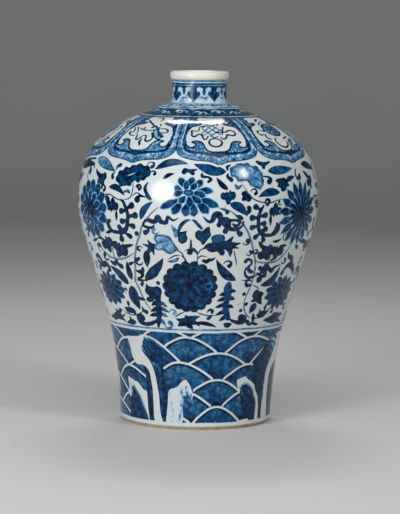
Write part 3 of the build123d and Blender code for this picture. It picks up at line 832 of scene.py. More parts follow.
# Thick strokes: each place gives an angle, an arc length, a width and sometimes a tone
scroll_limbs = (
    # the left knobbed stem
    ((-38.5, 219.6, 1.4), (-36.4, 217.4, 2.8), (-35, 211.5, 3.2), (-34, 205.5, 3.4), (-34.4, 200, 3.6),
     (-35.2, 195, 3.8), (-37, 190.4, 4.2), (-40.6, 188.8, 3.4), (-44.8, 189.2, 3.2), (-47, 193, 3.4),
     (-47.4, 197.6, 3.8), (-45.4, 199, 3)),
    ((-45, 189.4, 3), (-49.6, 187, 1.6)),
    # the right knobbed stem
    ((31.6, 216.4, 1.4), (30.2, 212, 2.8), (29.2, 206, 3.2), (29.4, 200, 3.4), (29.8, 195, 3.4),
     (31.4, 190.6, 3.6), (35, 188.2, 3.2), (38.6, 188.8, 3.2), (41, 192, 3.6), (41.4, 196.4, 3.4),
     (39.8, 199.2, 1.6)),
    # the left ribbon leaf
    ((-8.8, 205, 0.7), (-11.2, 203, 1.8), (-13.6, 206, 2.6), (-14.6, 200.8, 3.4), (-17.2, 201.4, 4.2),
     (-18.6, 205.2, 4.8), (-20.2, 200.8, 3.8), (-23, 202, 3.8)),
    ((-25.8, 200.4, 1.2), (-26.2, 197.4, 2), (-24.4, 195.4, 2.4), (-21.8, 195.4, 2.2),
     (-20.6, 197.4, 1.4)),
    ((-23.8, 195.2, 2.2), (-23.6, 191.8, 2.6), (-25.4, 190, 4.4)),
    # the right ribbon leaf
    ((2.6, 206.8, 0.8), (4.8, 202.6, 2.4), (6.6, 203, 3.4), (8, 208.2, 5.2), (10.2, 208.4, 5),
     (10.8, 203.4, 4.4), (13, 202.8, 6.8), (14.2, 199, 5)),
    ((13.6, 202.4, 3.6), (16.4, 203.4, 2.4), (19, 202.6, 2.4), (19.4, 199.6, 2.4), (17.8, 198, 2.4),
     (16.4, 199.8, 1.6)),
    ((12.6, 199.6, 4.6), (15, 195.8, 3.6), (18.4, 194.8, 3), (20.8, 197.6, 2), (21.6, 202.4, 1.2)),
    ((19, 195.4, 2.4), (19.4, 192.4, 2.8), (20.6, 190.2, 4.6)), ((13.8, 197.6, 2.6), (13, 193.2, 4.8)),
    ((10.6, 203.6, 3), (9.8, 199, 4.2)),
    # the clouds over the middle blossom and beside it
    ((-6.6, 247.4, 4), (-6.2, 249.8, 2.6), (-4.4, 248.6, 3), (-2.4, 249.4, 2.2), (-0.8, 250.2, 1.2)),
    ((-4.2, 248.6, 2.4), (-2.6, 246.4, 3.2)),
    ((30.4, 257.2, 2.6), (32.4, 255.4, 4), (34.8, 255.2, 3.4), (37.8, 257.2, 1.4)),
    ((33.2, 255, 3), (33.4, 251.8, 3.4)),
    # the great hooks along the foot of the scroll
    ((-35.2, 103.6, 5.6), (-37.2, 104.4, 6.4), (-38.2, 101.2, 4.4), (-36, 98.4, 3.4), (-32, 97.8, 3.4),
     (-27.6, 99.8, 3.2), (-22, 105.6, 1.2)),
    ((28.2, 106, 6.4), (29.8, 104.4, 7.4), (29, 101.6, 5), (26, 101.2, 3.6), (22.6, 103, 2.4),
     (19.8, 105.6, 1)),
    # pale and dark trefoils between the ribbons and the great blossom
    ((2.6, 175.6, 0.8), (5.2, 178.6, 4.6), (7.4, 177.4, 8.6), (10.8, 179.6, 9.4), (14, 180.4, 6),
     (17, 187.2, 1.8)),
    ((10.6, 178, 7), (12.2, 172, 4.8)), ((13.6, 179.4, 6), (16.2, 174.4, 4.6), (16.6, 168.4, 1)),
    ((13.4, 180.6, 5.4), (17.6, 180, 4.2), (21.2, 181.2, 1)), ((15.6, 178, 4), (20.6, 176.2, 0.9)),
    # the spiked leaves left of the pale trefoil
    ((-20.4, 178, 3.4), (-22.6, 176.4, 5.4), (-24.4, 172, 3.4), (-25.4, 168.6, 1.8)),
    ((-22.6, 177, 4.2), (-24.6, 182.8, 1.2)), ((-23, 176, 3.8), (-27.4, 178.4, 0.9)),
    ((-22.4, 175, 3.6), (-21.8, 168.6, 0.9)),
    # the maple leaf at the bottom
    ((-5, 102.6, 8), (-8.8, 103, 5), (-12.4, 105, 0.9)),
    ((-5, 102.6, 8), (-9.2, 100, 4.4), (-11.2, 98, 1)), ((-5, 103, 8), (-4.6, 99, 5), (-2.4, 95.9, 1)),
    ((-5, 104.4, 6.4), (-1.8, 106, 4.6), (1.8, 108, 1)),
    ((-4.6, 102.4, 6.6), (-0.4, 101.4, 3.4), (2.2, 98.4, 1)), ((-5.2, 104, 6), (-6.4, 108.2, 1.6)),
    # the leaves at the foot, left and right
    ((-60, 102, 6.4), (-64, 100.6, 4.6), (-69.6, 99.6, 0.9)),
    ((-60, 102.4, 6.4), (-57, 106, 3.6), (-59.8, 108.4, 1)),
    ((-61, 102, 6), (-55, 100.8, 3.8), (-50.8, 98, 0.9)), ((-61, 101, 5), (-64, 97.4, 1.4)),
    ((57, 101.6, 9), (61, 103.4, 6.6), (67, 105, 1.2)),
    ((57, 102, 8.6), (52.4, 101.4, 5.6), (46.6, 101.6, 1)),
    ((57, 102.6, 5.6), (55.6, 106.4, 3.2), (60.4, 107, 1)),
    ((58, 100.6, 5), (64, 98.6, 3), (69, 96.8, 0.9)),
    ((-41.6, 98.6, 2), (-44.6, 98.4, 5), (-49.6, 97.2, 1.2)), ((-45, 99, 3.4), (-46, 103.6, 1.2)),
    ((40.2, 107.4, 2.4), (43.2, 107.6, 6), (47.2, 109.2, 3.4), (49.4, 111.6, 1)),
    ((42, 108, 3.4), (41.2, 112.6, 1.4)),
    ((-48.4, 112.4, 1.4), (-46.2, 110.4, 5), (-43.4, 110.4, 5.4), (-41, 109.4, 4), (-39.8, 106.4, 1.2)),
    ((33.4, 101, 4.2), (35.2, 98.4, 2.8), (37.6, 100.6, 2.4), (37.2, 105.6, 3.4), (36.8, 108.8, 1.6)),
    ((37.6, 100, 1.8), (39.6, 98.4, 2.6), (42.2, 98.2, 1)),
    # the brackets over the chrysanthemums
    ((-65.6, 157, 3.6), (-63.4, 154, 4.4), (-60, 153.6, 5.6), (-56.6, 155, 4.8), (-54.2, 150, 3.6),
     (-56, 148, 3)),
    ((-63, 153, 3), (-66, 149, 3.8)), ((-60, 156, 3), (-63.4, 162, 4.4), (-66.6, 161, 3)),
    ((52.8, 148.2, 4.4), (54, 152.6, 3), (57.4, 156, 4.8), (61, 154.2, 5.6), (64, 150, 3.8),
     (65.2, 147.4, 3.6)),
    ((60, 156, 3), (58.2, 162.6, 4.4), (54.8, 165, 3.4), (53.6, 168.4, 1.4)),
    # hooks round the middle blossom and the clouds
    ((-24.2, 236.4, 1.2), (-25.2, 232, 2.8), (-24.4, 227, 2.8), (-21.6, 221.4, 1)),
    ((1.8, 245.8, 2), (2.2, 243.4, 2.8), (4.8, 243, 1.8), (6.2, 240.6, 2.6), (5, 238.6, 2.4)),
    ((14.4, 249.6, 1.4), (14.2, 252.4, 2.4), (15.2, 254.8, 3.2)),
    ((14.4, 246, 1.2), (14, 243.4, 2.4), (15.6, 240.8, 3.8)),
    ((17.6, 235.6, 2, 0.55), (18.6, 233.4, 3.2, 0.55), (20.4, 235, 1.6, 0.55)),
    ((32.4, 243.2, 1), (35, 242.6, 1.8), (36.8, 240.6, 2.6), (35.6, 238.2, 4.6)),
    ((11.2, 213.8, 1.2), (12.8, 213, 1.8), (13.6, 210.8, 3.2)),
    ((17.4, 207.6, 1), (19.4, 206.6, 3.4), (20.8, 205, 2.2)),
    ((-36.4, 227.4, 1.8, 0.55), (-34.6, 228.2, 2.6, 0.55), (-33.4, 226.6, 1.6, 0.55)),
    ((-43.4, 247.8, 1.4), (-43, 250.4, 2.4), (-41.4, 251.8, 3.6)),
    ((-44, 244.2, 1.2), (-45.4, 242, 2.2), (-44.8, 239.6, 3.6)),
    ((6.4, 112.6, 1.2), (7.4, 114.8, 1.8), (9.2, 114, 3), (9.2, 112, 2.4)),
    ((9.2, 109.4, 1), (8.4, 107.4, 2.2), (7.2, 106.2, 3.2)),
    ((-34.2, 114.8, 1.4), (-33.6, 111.4, 2.8), (-31.6, 110, 4)),
    ((17.4, 100.4, 1.4), (19.4, 99, 4.8), (21.8, 100, 1.8)),
    # hooks along the left vine
    ((-34, 151.6, 1.4), (-32, 150.4, 3.2), (-30.2, 151.4, 3.8), (-29.6, 154.2, 2.4)),
    ((-30.6, 151, 3.4), (-30.4, 147.4, 3.2), (-31.6, 144.8, 2), (-33.8, 144.2, 1)),
    ((-33.8, 142, 1), (-31.6, 141.8, 1.6), (-30.8, 139.8, 2.2), (-31.8, 137.6, 3.4)),
    ((-35.2, 124, 2.4), (-33.4, 122.8, 3), (-31.6, 122.6, 1.6)),
    ((-34.8, 159.6, 1.2), (-37.2, 158, 3.2)),
    # hooks along the right vine
    ((25.4, 163, 3.6), (26.6, 164.8, 2.4), (28.6, 163.4, 2.2), (28.9, 160, 2), (27.6, 157.2, 2.6),
     (28.4, 153.8, 3.4), (30, 151.8, 3.2)),
    ((26.4, 156.4, 1.6), (26, 152, 2), (26.8, 148.4, 2.4), (29, 146, 2.6), (31.2, 147.2, 1.6)),
    ((30.6, 143, 1.2), (28.4, 143.4, 1.8), (27.6, 140.6, 2.4), (28.6, 138.4, 3.2), (30.2, 138.8, 2.4)),
    ((3.2, 164.2, 2.4), (4.8, 163.2, 3.4), (6.2, 165.2, 2.4)),
    # bracket curls beside the vines
    ((-51.4, 158, 2.4), (-48.8, 156, 4), (-46.6, 159.6, 3.2), (-45.8, 156, 3.4), (-43.8, 154.4, 5)),
    ((34.6, 155.6, 3.8), (36.4, 152.4, 3), (38.4, 156.4, 5.6), (41, 154, 3.6), (43.4, 151.8, 4.2),
     (45, 155.4, 2.6), (48.8, 157.6, 1)),
    ((38.2, 154.6, 3.4), (38.8, 148, 4.6)),
)

# Knobs on the knobbed stems: root and tip, then size
stem_knobs = (
    (-34.8, 211.6, -31.9, 214.8, 2.8), (-34.8, 210, -37.6, 209.2, 2.6), (-33.6, 205, -30.2, 206, 3),
    (-34.4, 201, -37.6, 199.6, 2.8), (-34.8, 197, -31.8, 195.6, 2.8), (-37, 191.4, -39.8, 193.6, 2.6),
    (-37.6, 189.6, -34.2, 185.6, 2.6), (-39.6, 188.4, -39.4, 182.4, 2.8), (-46, 192, -47.4, 197.6, 2.4),
    (29.8, 212.8, 27.6, 215.2, 2.6), (29, 205.6, 26, 205.4, 2.8), (29.4, 206.4, 32.8, 207.4, 2.8),
    (29.8, 197.6, 26.2, 196.2, 2.6), (30.2, 199.4, 32.4, 199.4, 2.6), (31, 192.4, 33.6, 194.2, 2.6),
    (31.2, 191, 28.6, 186.8, 2.4), (32, 190, 33.4, 183.6, 2.4), (38, 189.4, 40.4, 195, 2.6),
)

# Curls: angle, arc length, size, turn and hand
scroll_curls = (
    (104.4, 253, 1.2, 0, 1), (92, 228, 1.1, 0, 1), (91, 118, 1.2, 0, 1), (103, 104, 1.2, 180, 1),
    (81, 112, 1.2, 0, 1), (77, 104.5, 1.1, 180, 1), (100, 214, 1.1, 0, 1), (102, 204, 1, 180, 1),
    (-23.6, 252.6, 1.1, 0, 1), (-21.6, 245, 0.85, 20, 1), (-28.6, 231.2, 0.95, 0, 1),
    (-50.4, 228, 1.1, 0, 1), (-64.4, 245, 1.5, 0, -1), (-65.4, 240.4, 1.2, 90, 1),
    (57, 243, 1.5, 90, -1), (-47.2, 217.4, 1.2, 0, 1), (26.8, 228.4, 1, 0, 1), (34.2, 219.4, 1, 90, 1),
    (23.4, 213.6, 1.2, 180, -1), (-29.6, 173, 0.9, 0, -1), (-31.4, 161.8, 1.25, 180, 1),
    (16, 159.8, 1.15, 0, 1), (35, 144, 1.4, 0, 1), (26.6, 171.8, 0.9, 180, -1),
    (24.4, 183.2, 1, 180, -1), (30.4, 171.4, 0.8, 0, 1), (-44.4, 130.2, 0.8, 90, 1),
    (-55, 163.6, 1.3, 180, 1), (51.2, 161.8, 1, 180, -1), (52.4, 180.4, 1.3, 0, 1),
    (-58.6, 171.4, 1.2, 90, 1), (-53.2, 107.4, 1.3, 180, 1), (51.6, 110, 1, 0, 1),
    (73, 216.8, 1.2, 0, 1), (41.2, 218.6, 0.7, 180, 1), (-70.6, 182.6, 1.4, 0, 1),
    (68.6, 146.6, 1.2, 0, 1), (-70, 150.4, 1.2, 0, -1), (73, 136, 1.3, 90, 1), (-74, 136, 1.3, 90, -1),
    (71, 160, 1.2, 180, -1), (-72, 168, 1.4, 0, 1), (-57.4, 190, 1.2, 0, 1), (48, 186.6, 1.1, 90, 1),
    (-66, 118, 1.2, 0, 1), (68, 114, 1.2, 180, 1), (60, 188.4, 1.2, 0, -1),
)

# Drops of paint: angle, arc length and radius
scroll_drops = (
    (-28.9, 220.6, 3), (-30.2, 188.8, 2.2), (-21.5, 140.4, 2.1), (27.6, 129.8, 1.9), (30.3, 119.4, 1.9),
    (27.2, 113.4, 1.9), (-24.8, 201.4, 1.6), (24.8, 183.4, 2), (35.4, 144.6, 2.2), (41.8, 163, 1.6),
    (-29.2, 232.6, 1.5), (-51.6, 229.6, 1.6), (-47.4, 219.2, 1.8), (24, 211.6, 1.8), (34, 217.6, 1.5),
    (28.6, 171.4, 1.6), (17, 157.6, 1.4), (-31, 164, 1.6),
)

# Curls painted pale as painted highlight, given in the same way as the dark ones
highlight_pale_curls = ((-14, 110.8, 1, 0, 1), (-17.2, 99.8, 1.2, 180, -1), (-20.2, 193, 1, 180, 1))

# Ivy buds: angle, arc length, size and turn of a lobed body whose tip points down
ivy_buds = (
    (97, 236, 1.15, 20), (99, 124, 1.3, 160), (14, 225.6, 1.12, 0), (67.6, 236, 1.1, 20),
    (-52.6, 237.4, 1.1, 30), (-51, 176.2, 1.4, 20), (-42, 172.4, 1.45, -30), (36.4, 171, 1.35, 30),
    (44, 171.6, 1.3, -10), (-43.2, 213, 1.15, 180), (38.6, 210.8, 1.15, 180), (72, 174, 1.1, 0),
    (22.8, 225.2, 0.85, -50),
)
ivy_bud_outline = (
    (0, 2.4), (1.2, 5.4), (2.6, 3.4), (4.8, 3.8), (6.4, 2), (6.6, -1), (5, -3), (3, -3.4), (1.8, -5.6),
    (0.2, -7), (-1.6, -5.6), (-3, -3.2), (-5.2, -3), (-6.8, -0.8), (-6.4, 1.8), (-4.6, 3.2),
    (-2.6, 2.6), (-1.6, 4.2),
)
high_ivy = (
    (39.2, 238.8), (40.6, 240.4), (42.6, 239.6), (44.2, 241.4), (46, 240.6), (46.8, 237.4),
    (48.4, 233.6), (46.4, 232.6), (45.2, 229.6), (42.6, 228.6), (41.8, 232), (40, 233.4), (40.8, 236.2),
)
right_ivy = (
    (35.4, 133.6), (37.4, 132), (39.6, 131.2), (41.8, 129), (40.8, 126), (41, 122), (41.4, 118.4),
    (38.6, 119.4), (36.6, 121.2), (34.6, 120.8), (32.8, 122.2), (34.4, 124.2), (33.2, 127),
    (33.6, 130.6),
)
left_ivy = (
    (-28.8, 139.2), (-27, 136.8), (-24.6, 136.4), (-22, 137.2), (-20.2, 134.8), (-19.8, 131),
    (-20.8, 127.6), (-22.4, 124.6), (-24.8, 123.6), (-26.4, 121), (-28.6, 120.4), (-30.4, 122.4),
    (-29.6, 125), (-28, 126.4), (-29.8, 128.6), (-30.6, 132), (-29.6, 135.2),
)
ivy_veins = (
    ((-28.4, 138), (-25.6, 133), (-23, 127)), ((-29, 131), (-25.6, 131.6), (-21.4, 132)),
    ((35.8, 132), (37.6, 126.6), (40.4, 120)), ((34.6, 128), (37.6, 127), (40.8, 128.6)),
)


def ivy_bud(plan, angle, arc, size, turn):
    spot = Spot(angle, arc, turn, size)
    patch(plan, spot.at(ivy_bud_outline), tone=0.84, rim=0.97, rim_width=1.2)
    line(plan, spot.at([(0, 3.0), (0.1, -1.0), (0.2, -5.0)]), 0.7, 0.99)


# The pair of curved buds on leaf stalks over the great blossom, and the small bud between them.
# A stroke has its tone and its places; a shape has its tone, its rim's tone and width, and its places.
bud_stalks = (
    (0.8, ((-3.4, 203.6, 0.8), (-5.4, 202.4, 3), (-7.6, 198, 3.6), (-9, 192.6, 2.6), (-9.4, 188, 1.2))),
    (0.8, ((-2.6, 203.6, 0.8), (-1.4, 202.4, 2.8), (0.4, 199, 3.6), (2, 195.6, 2.4))),
)
bud_shapes = (
    (0.72, 0.95, 1.2,
     ((-9.2, 186.5), (-8.6, 191.6), (-6.8, 192.4), (-5, 193.2), (-5.4, 189.8), (-4.6, 186.6),
      (-5.4, 182.4), (-7.4, 180.4), (-9, 182.6))),
    (0.82, 0.96, 0.8,
     ((-0.8, 192.6), (0.8, 194), (2.4, 193.4), (4.2, 196.6), (5.6, 197.4), (6, 192.6), (6.4, 189),
      (4.8, 185), (2.6, 179.8), (1.2, 183.2), (-0.8, 186.4), (-1.2, 189.8))),
)
small_bud = (
    (0.92, ((-3, 184.4, 1.4), (-3, 180, 2.2), (-3.2, 175.8, 3), (-3.8, 172.2, 5.4))),
    (0.85, ((-3.2, 176.4, 1.6), (-1.4, 175.2, 2), (0.4, 171, 1.2))),
)

# The dark trefoil right of the middle and the pale one left of it, given in the same way; the pale one's
# light wash is painted highlight over blue paint. Then the lines inside the pale one, and the leaf over
# it, whose pale tone is painted highlight too
trefoil_shapes = (
    (0.62, 0.9, 1,
     ((6.8, 184), (6.8, 188), (9.6, 190.2), (12.4, 189.4), (13.2, 185.6), (12, 181.6), (8.6, 181))),
    (0.26, 0.5, 1.6,
     ((-21.2, 184.6), (-20, 188.4), (-16.8, 189.2), (-13.4, 187.6), (-12, 183.6), (-10.4, 178.4),
      (-9.2, 175), (-11, 172.2), (-13, 169.8), (-15.4, 170.8), (-17, 173.4), (-19.8, 173),
      (-21.6, 176.4), (-20.2, 180.4))),
)
trefoil_lines = (
    (1.2, 0.46, ((-19.5, 181), (-16.4, 181.6), (-13.4, 183.8))),
    (1.2, 0.5, ((-16.8, 180), (-16.6, 176), (-14.2, 172.6))),
)
highlight_pale_trefoil_leaf = ((-12, 197.6, 2, 0.4), (-10.6, 193, 4, 0.3), (-10.2, 188, 3, 0.4))


def curved_buds(plan):
    for tone, places in bud_stalks:
        limb(plan, places, tone)
    for tone, rim, rim_width, places in bud_shapes:
        patch(plan, places, tone, rim, rim_width)
    for tone, places in small_bud:
        limb(plan, places, tone)


def trefoils(plan):
    # The pale trefoil's light wash and the pale leaf over it are painted highlight
    for tone, rim, rim_width, places in trefoil_shapes:
        patch(plan, places, tone, rim, rim_width)
    for width, tone, places in trefoil_lines:
        line(plan, places, width, tone)
    limb(plan, highlight_pale_trefoil_leaf)


# Serrated leaves: the trunk's places, its tone, and its teeth, each by its root and its tip
serrated_leaves = (
    (((17.6, 140.4, 5), (17.2, 136, 8), (17.6, 129, 7.4), (17.4, 121, 6), (17.8, 113, 6.4),
      (19.4, 106, 5)),
     0.78,
     ((16.6, 131.4, 12.4, 128.8), (17, 126.6, 11.2, 123.2), (17, 120.6, 10.4, 116.8),
      (17.2, 113.4, 11.2, 108.8), (18.4, 108.4, 13.8, 102.8), (18.6, 134, 22.6, 132.6),
      (18.6, 127, 22.8, 124.6), (18.8, 119, 22.4, 116.6))),
    (((-22.4, 128, 6), (-22.8, 120, 6), (-23, 113, 6.2), (-23.2, 106, 5.4), (-24, 99, 3.6),
      (-24.4, 95.6, 1.6)),
     0.92,
     ((-23.2, 122, -27.6, 116.8), (-23.4, 115.8, -28.6, 110.4), (-23.6, 109, -30, 106.4),
      (-23.6, 103.4, -26.8, 99.4))),
)
# Teeth along the right of the left serrated leaf, painted pale as painted highlight
highlight_pale_teeth = (
    (-21.8, 122, -17, 116.4), (-22, 116, -16.2, 111.2), (-22.2, 110.4, -17.4, 106.4),
    (-22.6, 104, -19.4, 98.6),
)


def serrated(plan):
    # The pale teeth are painted lighter than the rest of the leaf, as painted highlight
    for root_angle, root_arc, tip_angle, tip_arc in highlight_pale_teeth:
        blade(plan, (root_angle, root_arc), (tip_angle, tip_arc), 3.8, fullest=0.4, tone=0.55, fade=0.3)
    for trunk, tone, teeth in serrated_leaves:
        for root_angle, root_arc, tip_angle, tip_arc in teeth:
            blade(plan, (root_angle, root_arc), (tip_angle, tip_arc), 4.2, fullest=0.35, tone=0.92)
        limb(plan, trunk, tone)
    for places in (high_ivy, left_ivy, right_ivy):
        patch(plan, places, tone=0.86, rim=0.97, rim_width=1.4)
    for places in ivy_veins:
        line(plan, places, 0.9, 0.99)


# The line along the foot of the scroll: middle, width and tone
scroll_foot_line = (94.2, 1.6, 0.35)

# The motifs left of the middle are drawn again on the vase's sides, this many degrees on
side_shift = 122.0
shifted_from, shifted_to = -47.0, -19.0


def scroll_motifs(plan, shift):
    """The motifs of the tables, or, with a shift, those of them that are drawn again further on."""

    def chosen(angle):
        return not shift or shifted_from < angle < shifted_to

    for places in double_vines:
        if chosen(places[0][0]):
            line(plan, set_out(shift, places), 1.9, 0.85, taper=(0.5, 0.5))
            line(plan, set_out(shift, places), 0.5, white=True)
    for places in single_vines:
        if chosen(places[0][0]):
            line(plan, set_out(shift, places), 1.2, 0.85)
    for places in scroll_limbs:
        if chosen(places[0][0]):
            limb(plan, set_out(shift, places), thicker=1.15)
    for root_angle, root_arc, tip_angle, tip_arc, size in stem_knobs:
        if chosen(root_angle):
            knob(plan, (root_angle + shift, root_arc), (tip_angle + shift, tip_arc), 1.3 * size)
    for angle, arc, reach in scroll_drops:
        if chosen(angle):
            dot(plan, angle + shift, arc, reach, 0.94)
    # The second set of curls is painted pale, as painted highlight
    for curls, tone in ((scroll_curls, 0.9), (highlight_pale_curls, 0.42)):
        for angle, arc, size, turn, hand in curls:
            if chosen(angle):
                curl(plan, angle + shift, arc, size, turn, hand, tone)
    for root_angle, root_arc, tip_angle, tip_arc, width, bend, tone, fade in scroll_leaves:
        if chosen(root_angle):
            root, tip = (root_angle + shift, root_arc), (tip_angle + shift, tip_arc)
            blade(plan, root, tip, width, bend, tone=tone, fade=fade)
    for angle, *rest in ivy_buds:
        if chosen(angle):
            ivy_bud(plan, angle + shift, *rest)


def paint_scroll():
    plan = Plan(low=90, high=264, columns=900, repeats=2)
    scroll_motifs(plan, side_shift)
    scroll_motifs(plan, 0.0)
    curved_buds(plan)
    trefoils(plan)
    serrated(plan)
    cloud_blossoms(plan)
    middle_blossom(plan)
    left_blossom(plan)
    right_aster(plan)
    low_chrysanthemums(plan)
    scalloped_blossom(plan)
    lappet_ground(plan)
    rings(plan, [scroll_foot_line])
    return plan


# The lappets round the shoulder: the middle of the first, their pitch, and the outline of one from
# the notch beside it to the tip at its foot, in millimetres from the notch's line and arc lengths
lappet_count = 8
lappet_pitch = 360.0 / lappet_count
first_lappet = 10.5
lappet_edge = (
    (0, 269.5), (1.4, 266.2), (3.4, 263.8), (6, 262), (10, 260.3), (15.4, 259), (24, 258.3),
    (30, 257.6), (34.5, 256.7), (37, 255.9), (40, 254.6),
)

# How much narrower the borders are up a lappet's sides than round its foot
side_narrowing = 1.6

# The borders inside the lappet's edge: where each ends, its tone, and how strongly it is stippled
lappet_borders = (
    (0.9, 0.88, 0), (4.2, 0.24, 0.42), (6.8, 0.13, 0.36), (8.8, 0.84, 0), (10.2, 0.5, 0.25),
    (11, 0.88, 0),
)

# The pale line inside the borders up the sides only, and the share of the cells that have specks
side_line_depth = 6.4
side_line_width = 1.2
border_specks = 0.42
corner_specks = 0.35


def lappet_ground(plan):
    """The nested borders of the lappets. They are narrower up the sides than round the foot."""
    angles = np.arange(plan.columns)[None, :] * plan.turn_step
    off = np.abs((angles - first_lappet + lappet_pitch / 2) % lappet_pitch - lappet_pitch / 2)
    from_side = np.radians(lappet_pitch / 2 - off) * plan.radii[:, None]
    arcs = plan.arcs[:, None] + 0 * from_side
    edge = np.array(lappet_edge)
    from_foot = from_line(from_side, arcs, edge, np.zeros(len(edge)))
    from_foot = np.where(arcs > np.interp(from_side, edge[:, 0], edge[:, 1]), from_foot, -from_foot)
    across, up = np.maximum(from_side * side_narrowing, 0.01), np.maximum(from_foot, 0.01)
    deep = np.where(from_foot < 0, from_foot, (across**-4 + up**-4) ** -0.25)
    cells = plan.all_cells()
    plan.spare(cells, -deep - 2.0)
    plan.lay(cells, -deep, 0.9)
    specks = coarse_specks(deep.shape, border_specks)
    start = 0.0
    for end, tone, stipple in lappet_borders:
        inside = (deep > start) & (deep <= end)
        plan.tone[inside] = (tone + stipple * specks)[inside]
        start = end
    side_line = (np.abs(deep - side_line_depth) < side_line_width / 2) & (across < up)
    plan.tone[side_line] = 0.0
    plan.spare(cells, start - deep)


# The curls in a lappet's lower corner and its upper corner, in degrees from its middle and arc lengths
lower_corner = (
    (0, 268.2), (3, 268.6), (5.2, 270.2), (6.4, 273), (7.2, 276.4), (8.4, 279.6), (10.4, 281.4),
    (12.8, 281.4), (14.5, 280.4), (14.6, 278.6), (13.4, 277.8), (12.6, 276), (13.6, 274), (15.4, 273.8),
    (16.8, 276), (17.3, 279.6), (18.2, 275), (17, 269.4), (12, 266.4), (6, 265.6), (0, 265.2),
)
upper_corner = (
    (17.4, 293), (16.4, 298), (14.6, 301.4), (11.6, 303), (9, 304.6), (7.6, 307.4), (9.4, 309),
    (11.6, 307.8), (12.8, 310), (11, 313), (12.6, 315.6), (11.4, 319.6), (18.4, 319.6), (18.4, 304),
)


def lappet_corners(plan, middle):
    for side in (-1, 1):
        for corner, tone, strength in ((lower_corner, 0.22, 0.34), (upper_corner, 0.5, 0.2)):
            cells, distance = patch(plan, set_out(middle, corner, side), tone, rim=0.92, rim_width=1.2)
            stippled(plan, cells, distance, strength)


# The emblems in the lappets, each as shapes, shapes drawn on both sides, strokes, and strokes drawn
# on both sides. A shape has its tone and its places, and a stroke its width, its tone and its places.
# Places are degrees from the lappet's middle and arc lengths.
endless_knot = (
    (), (),
    ((1.5, 0.42, ((-8.2, 292.4), (-4.8, 298.4), (-2, 303))),
     (1.5, 0.42, ((-7.4, 288.8), (-2.6, 295.6), (2.2, 302.4))),
     (1.5, 0.42, ((-3.6, 287.6), (0.8, 293.6), (4.4, 298.4))),
     (1.5, 0.48, ((-7.8, 298.6), (-4.6, 293), (-1.6, 287.6))),
     (1.5, 0.48, ((-5, 302.8), (-0.8, 296), (3.2, 289.4))),
     (1.5, 0.48, ((-1, 303.6), (2.4, 298.6), (5, 294))),
     (1.4, 0.5, ((-8.2, 292.4), (-8.8, 290), (-7.4, 288.8))),
     (1.4, 0.5, ((-7.8, 298.6), (-7.4, 301.8), (-5, 302.8))),
     (1.4, 0.6, ((-3.2, 287.6), (-0.9, 285.4), (1.6, 287.6))),
     (1.9, 0.98,
      ((-0.8, 284.4), (-3.4, 283), (-4.6, 279.4), (-3.4, 275.6), (-0.8, 274), (1.8, 275.6), (3, 279.4),
       (2, 282.8), (-0.8, 284.4))),
     (1.8, 0.96,
      ((-10.2, 300.6), (-10.2, 296.8), (-12, 295), (-15, 295.6), (-14.9, 291.6), (-14.2, 287.4),
       (-12.4, 287.4), (-10.8, 290), (-9, 289.4), (-8.2, 286), (-7.6, 283.4), (-6.4, 283.2),
       (-5.4, 285.2), (-4.8, 288))),
     (1.9, 0.96,
      ((1, 293.4), (4.5, 293.4), (7, 293.6), (8.4, 295.2), (10.8, 296), (13, 294.6), (13.6, 291.6),
       (12.2, 288.8), (9.6, 289), (7.6, 290), (6.6, 286.6), (5, 284), (3.6, 284.4), (3.2, 286.2))),
     (1.7, 0.92, ((6.8, 302.4), (6, 299), (4.8, 294), (4.2, 290))),
     (1.7, 0.9, ((2.8, 304.6), (3.8, 307.4), (4.8, 310.6))),
     (1.5, 0.7, ((-5.6, 306.4), (-3.6, 304), (-1, 303.6), (2, 305.4))),
     (1.5, 0.6, ((-10, 300.8), (-8.4, 302.8), (-6, 304.2)))),
    (),
)
wheel_rim = (
    (-5.6, 296), (-4, 302), (2.4, 305.2), (8.6, 302), (10.2, 296), (8.6, 290), (2.4, 286.8), (-4, 290),
)
wheel = (
    ((0.3, wheel_rim),), (),
    ((2.4, 0.95, (*wheel_rim, wheel_rim[0])),
     (1.8, 0.85,
      ((-1.6, 296), (-0.6, 299.4), (2.4, 301), (5.4, 299.4), (6.4, 296), (5.4, 292.6), (2.4, 291),
       (-0.6, 292.6), (-1.6, 296))),
     (1.2, 0.8, ((-4.8, 296), (9.4, 296))), (1.2, 0.8, ((2.4, 287.6), (2.4, 304.4))),
     (1.2, 0.8, ((-3, 290.8), (7.8, 301.2))), (1.2, 0.8, ((-3, 301.2), (7.8, 290.8))),
     (2.6, 0.9, ((2.2, 296), (2.6, 296))),
     (2.2, 0.98,
      ((-2.6, 283.6), (-4.4, 281), (-4.6, 277.6), (-3, 273.6), (-0.4, 271.8), (2.4, 272.4), (5, 275.6),
       (6.2, 278.8))),
     (2, 0.98, ((-11, 294.8), (-13.2, 294.4), (-14.2, 291.6), (-12.8, 288.8), (-10.8, 289.2))),
     (2, 0.95, ((-8.8, 289.6), (-9.8, 287), (-9.4, 284), (-7, 282.8))),
     (1.8, 0.8, ((-9.8, 295.6), (-7.4, 293.6), (-6.4, 297))),
     (1.8, 0.9, ((5.4, 282.4), (8.6, 283.4), (12, 285))),
     (1.6, 0.8, ((8.8, 279.6), (12.6, 280.6), (15, 282.4))),
     (2.2, 0.95, ((-3.4, 310.4), (-1, 312.6), (3.4, 315.4))),
     (1.6, 0.7, ((-5.6, 304), (-1.4, 308), (4.4, 309.6)))),
    (),
)
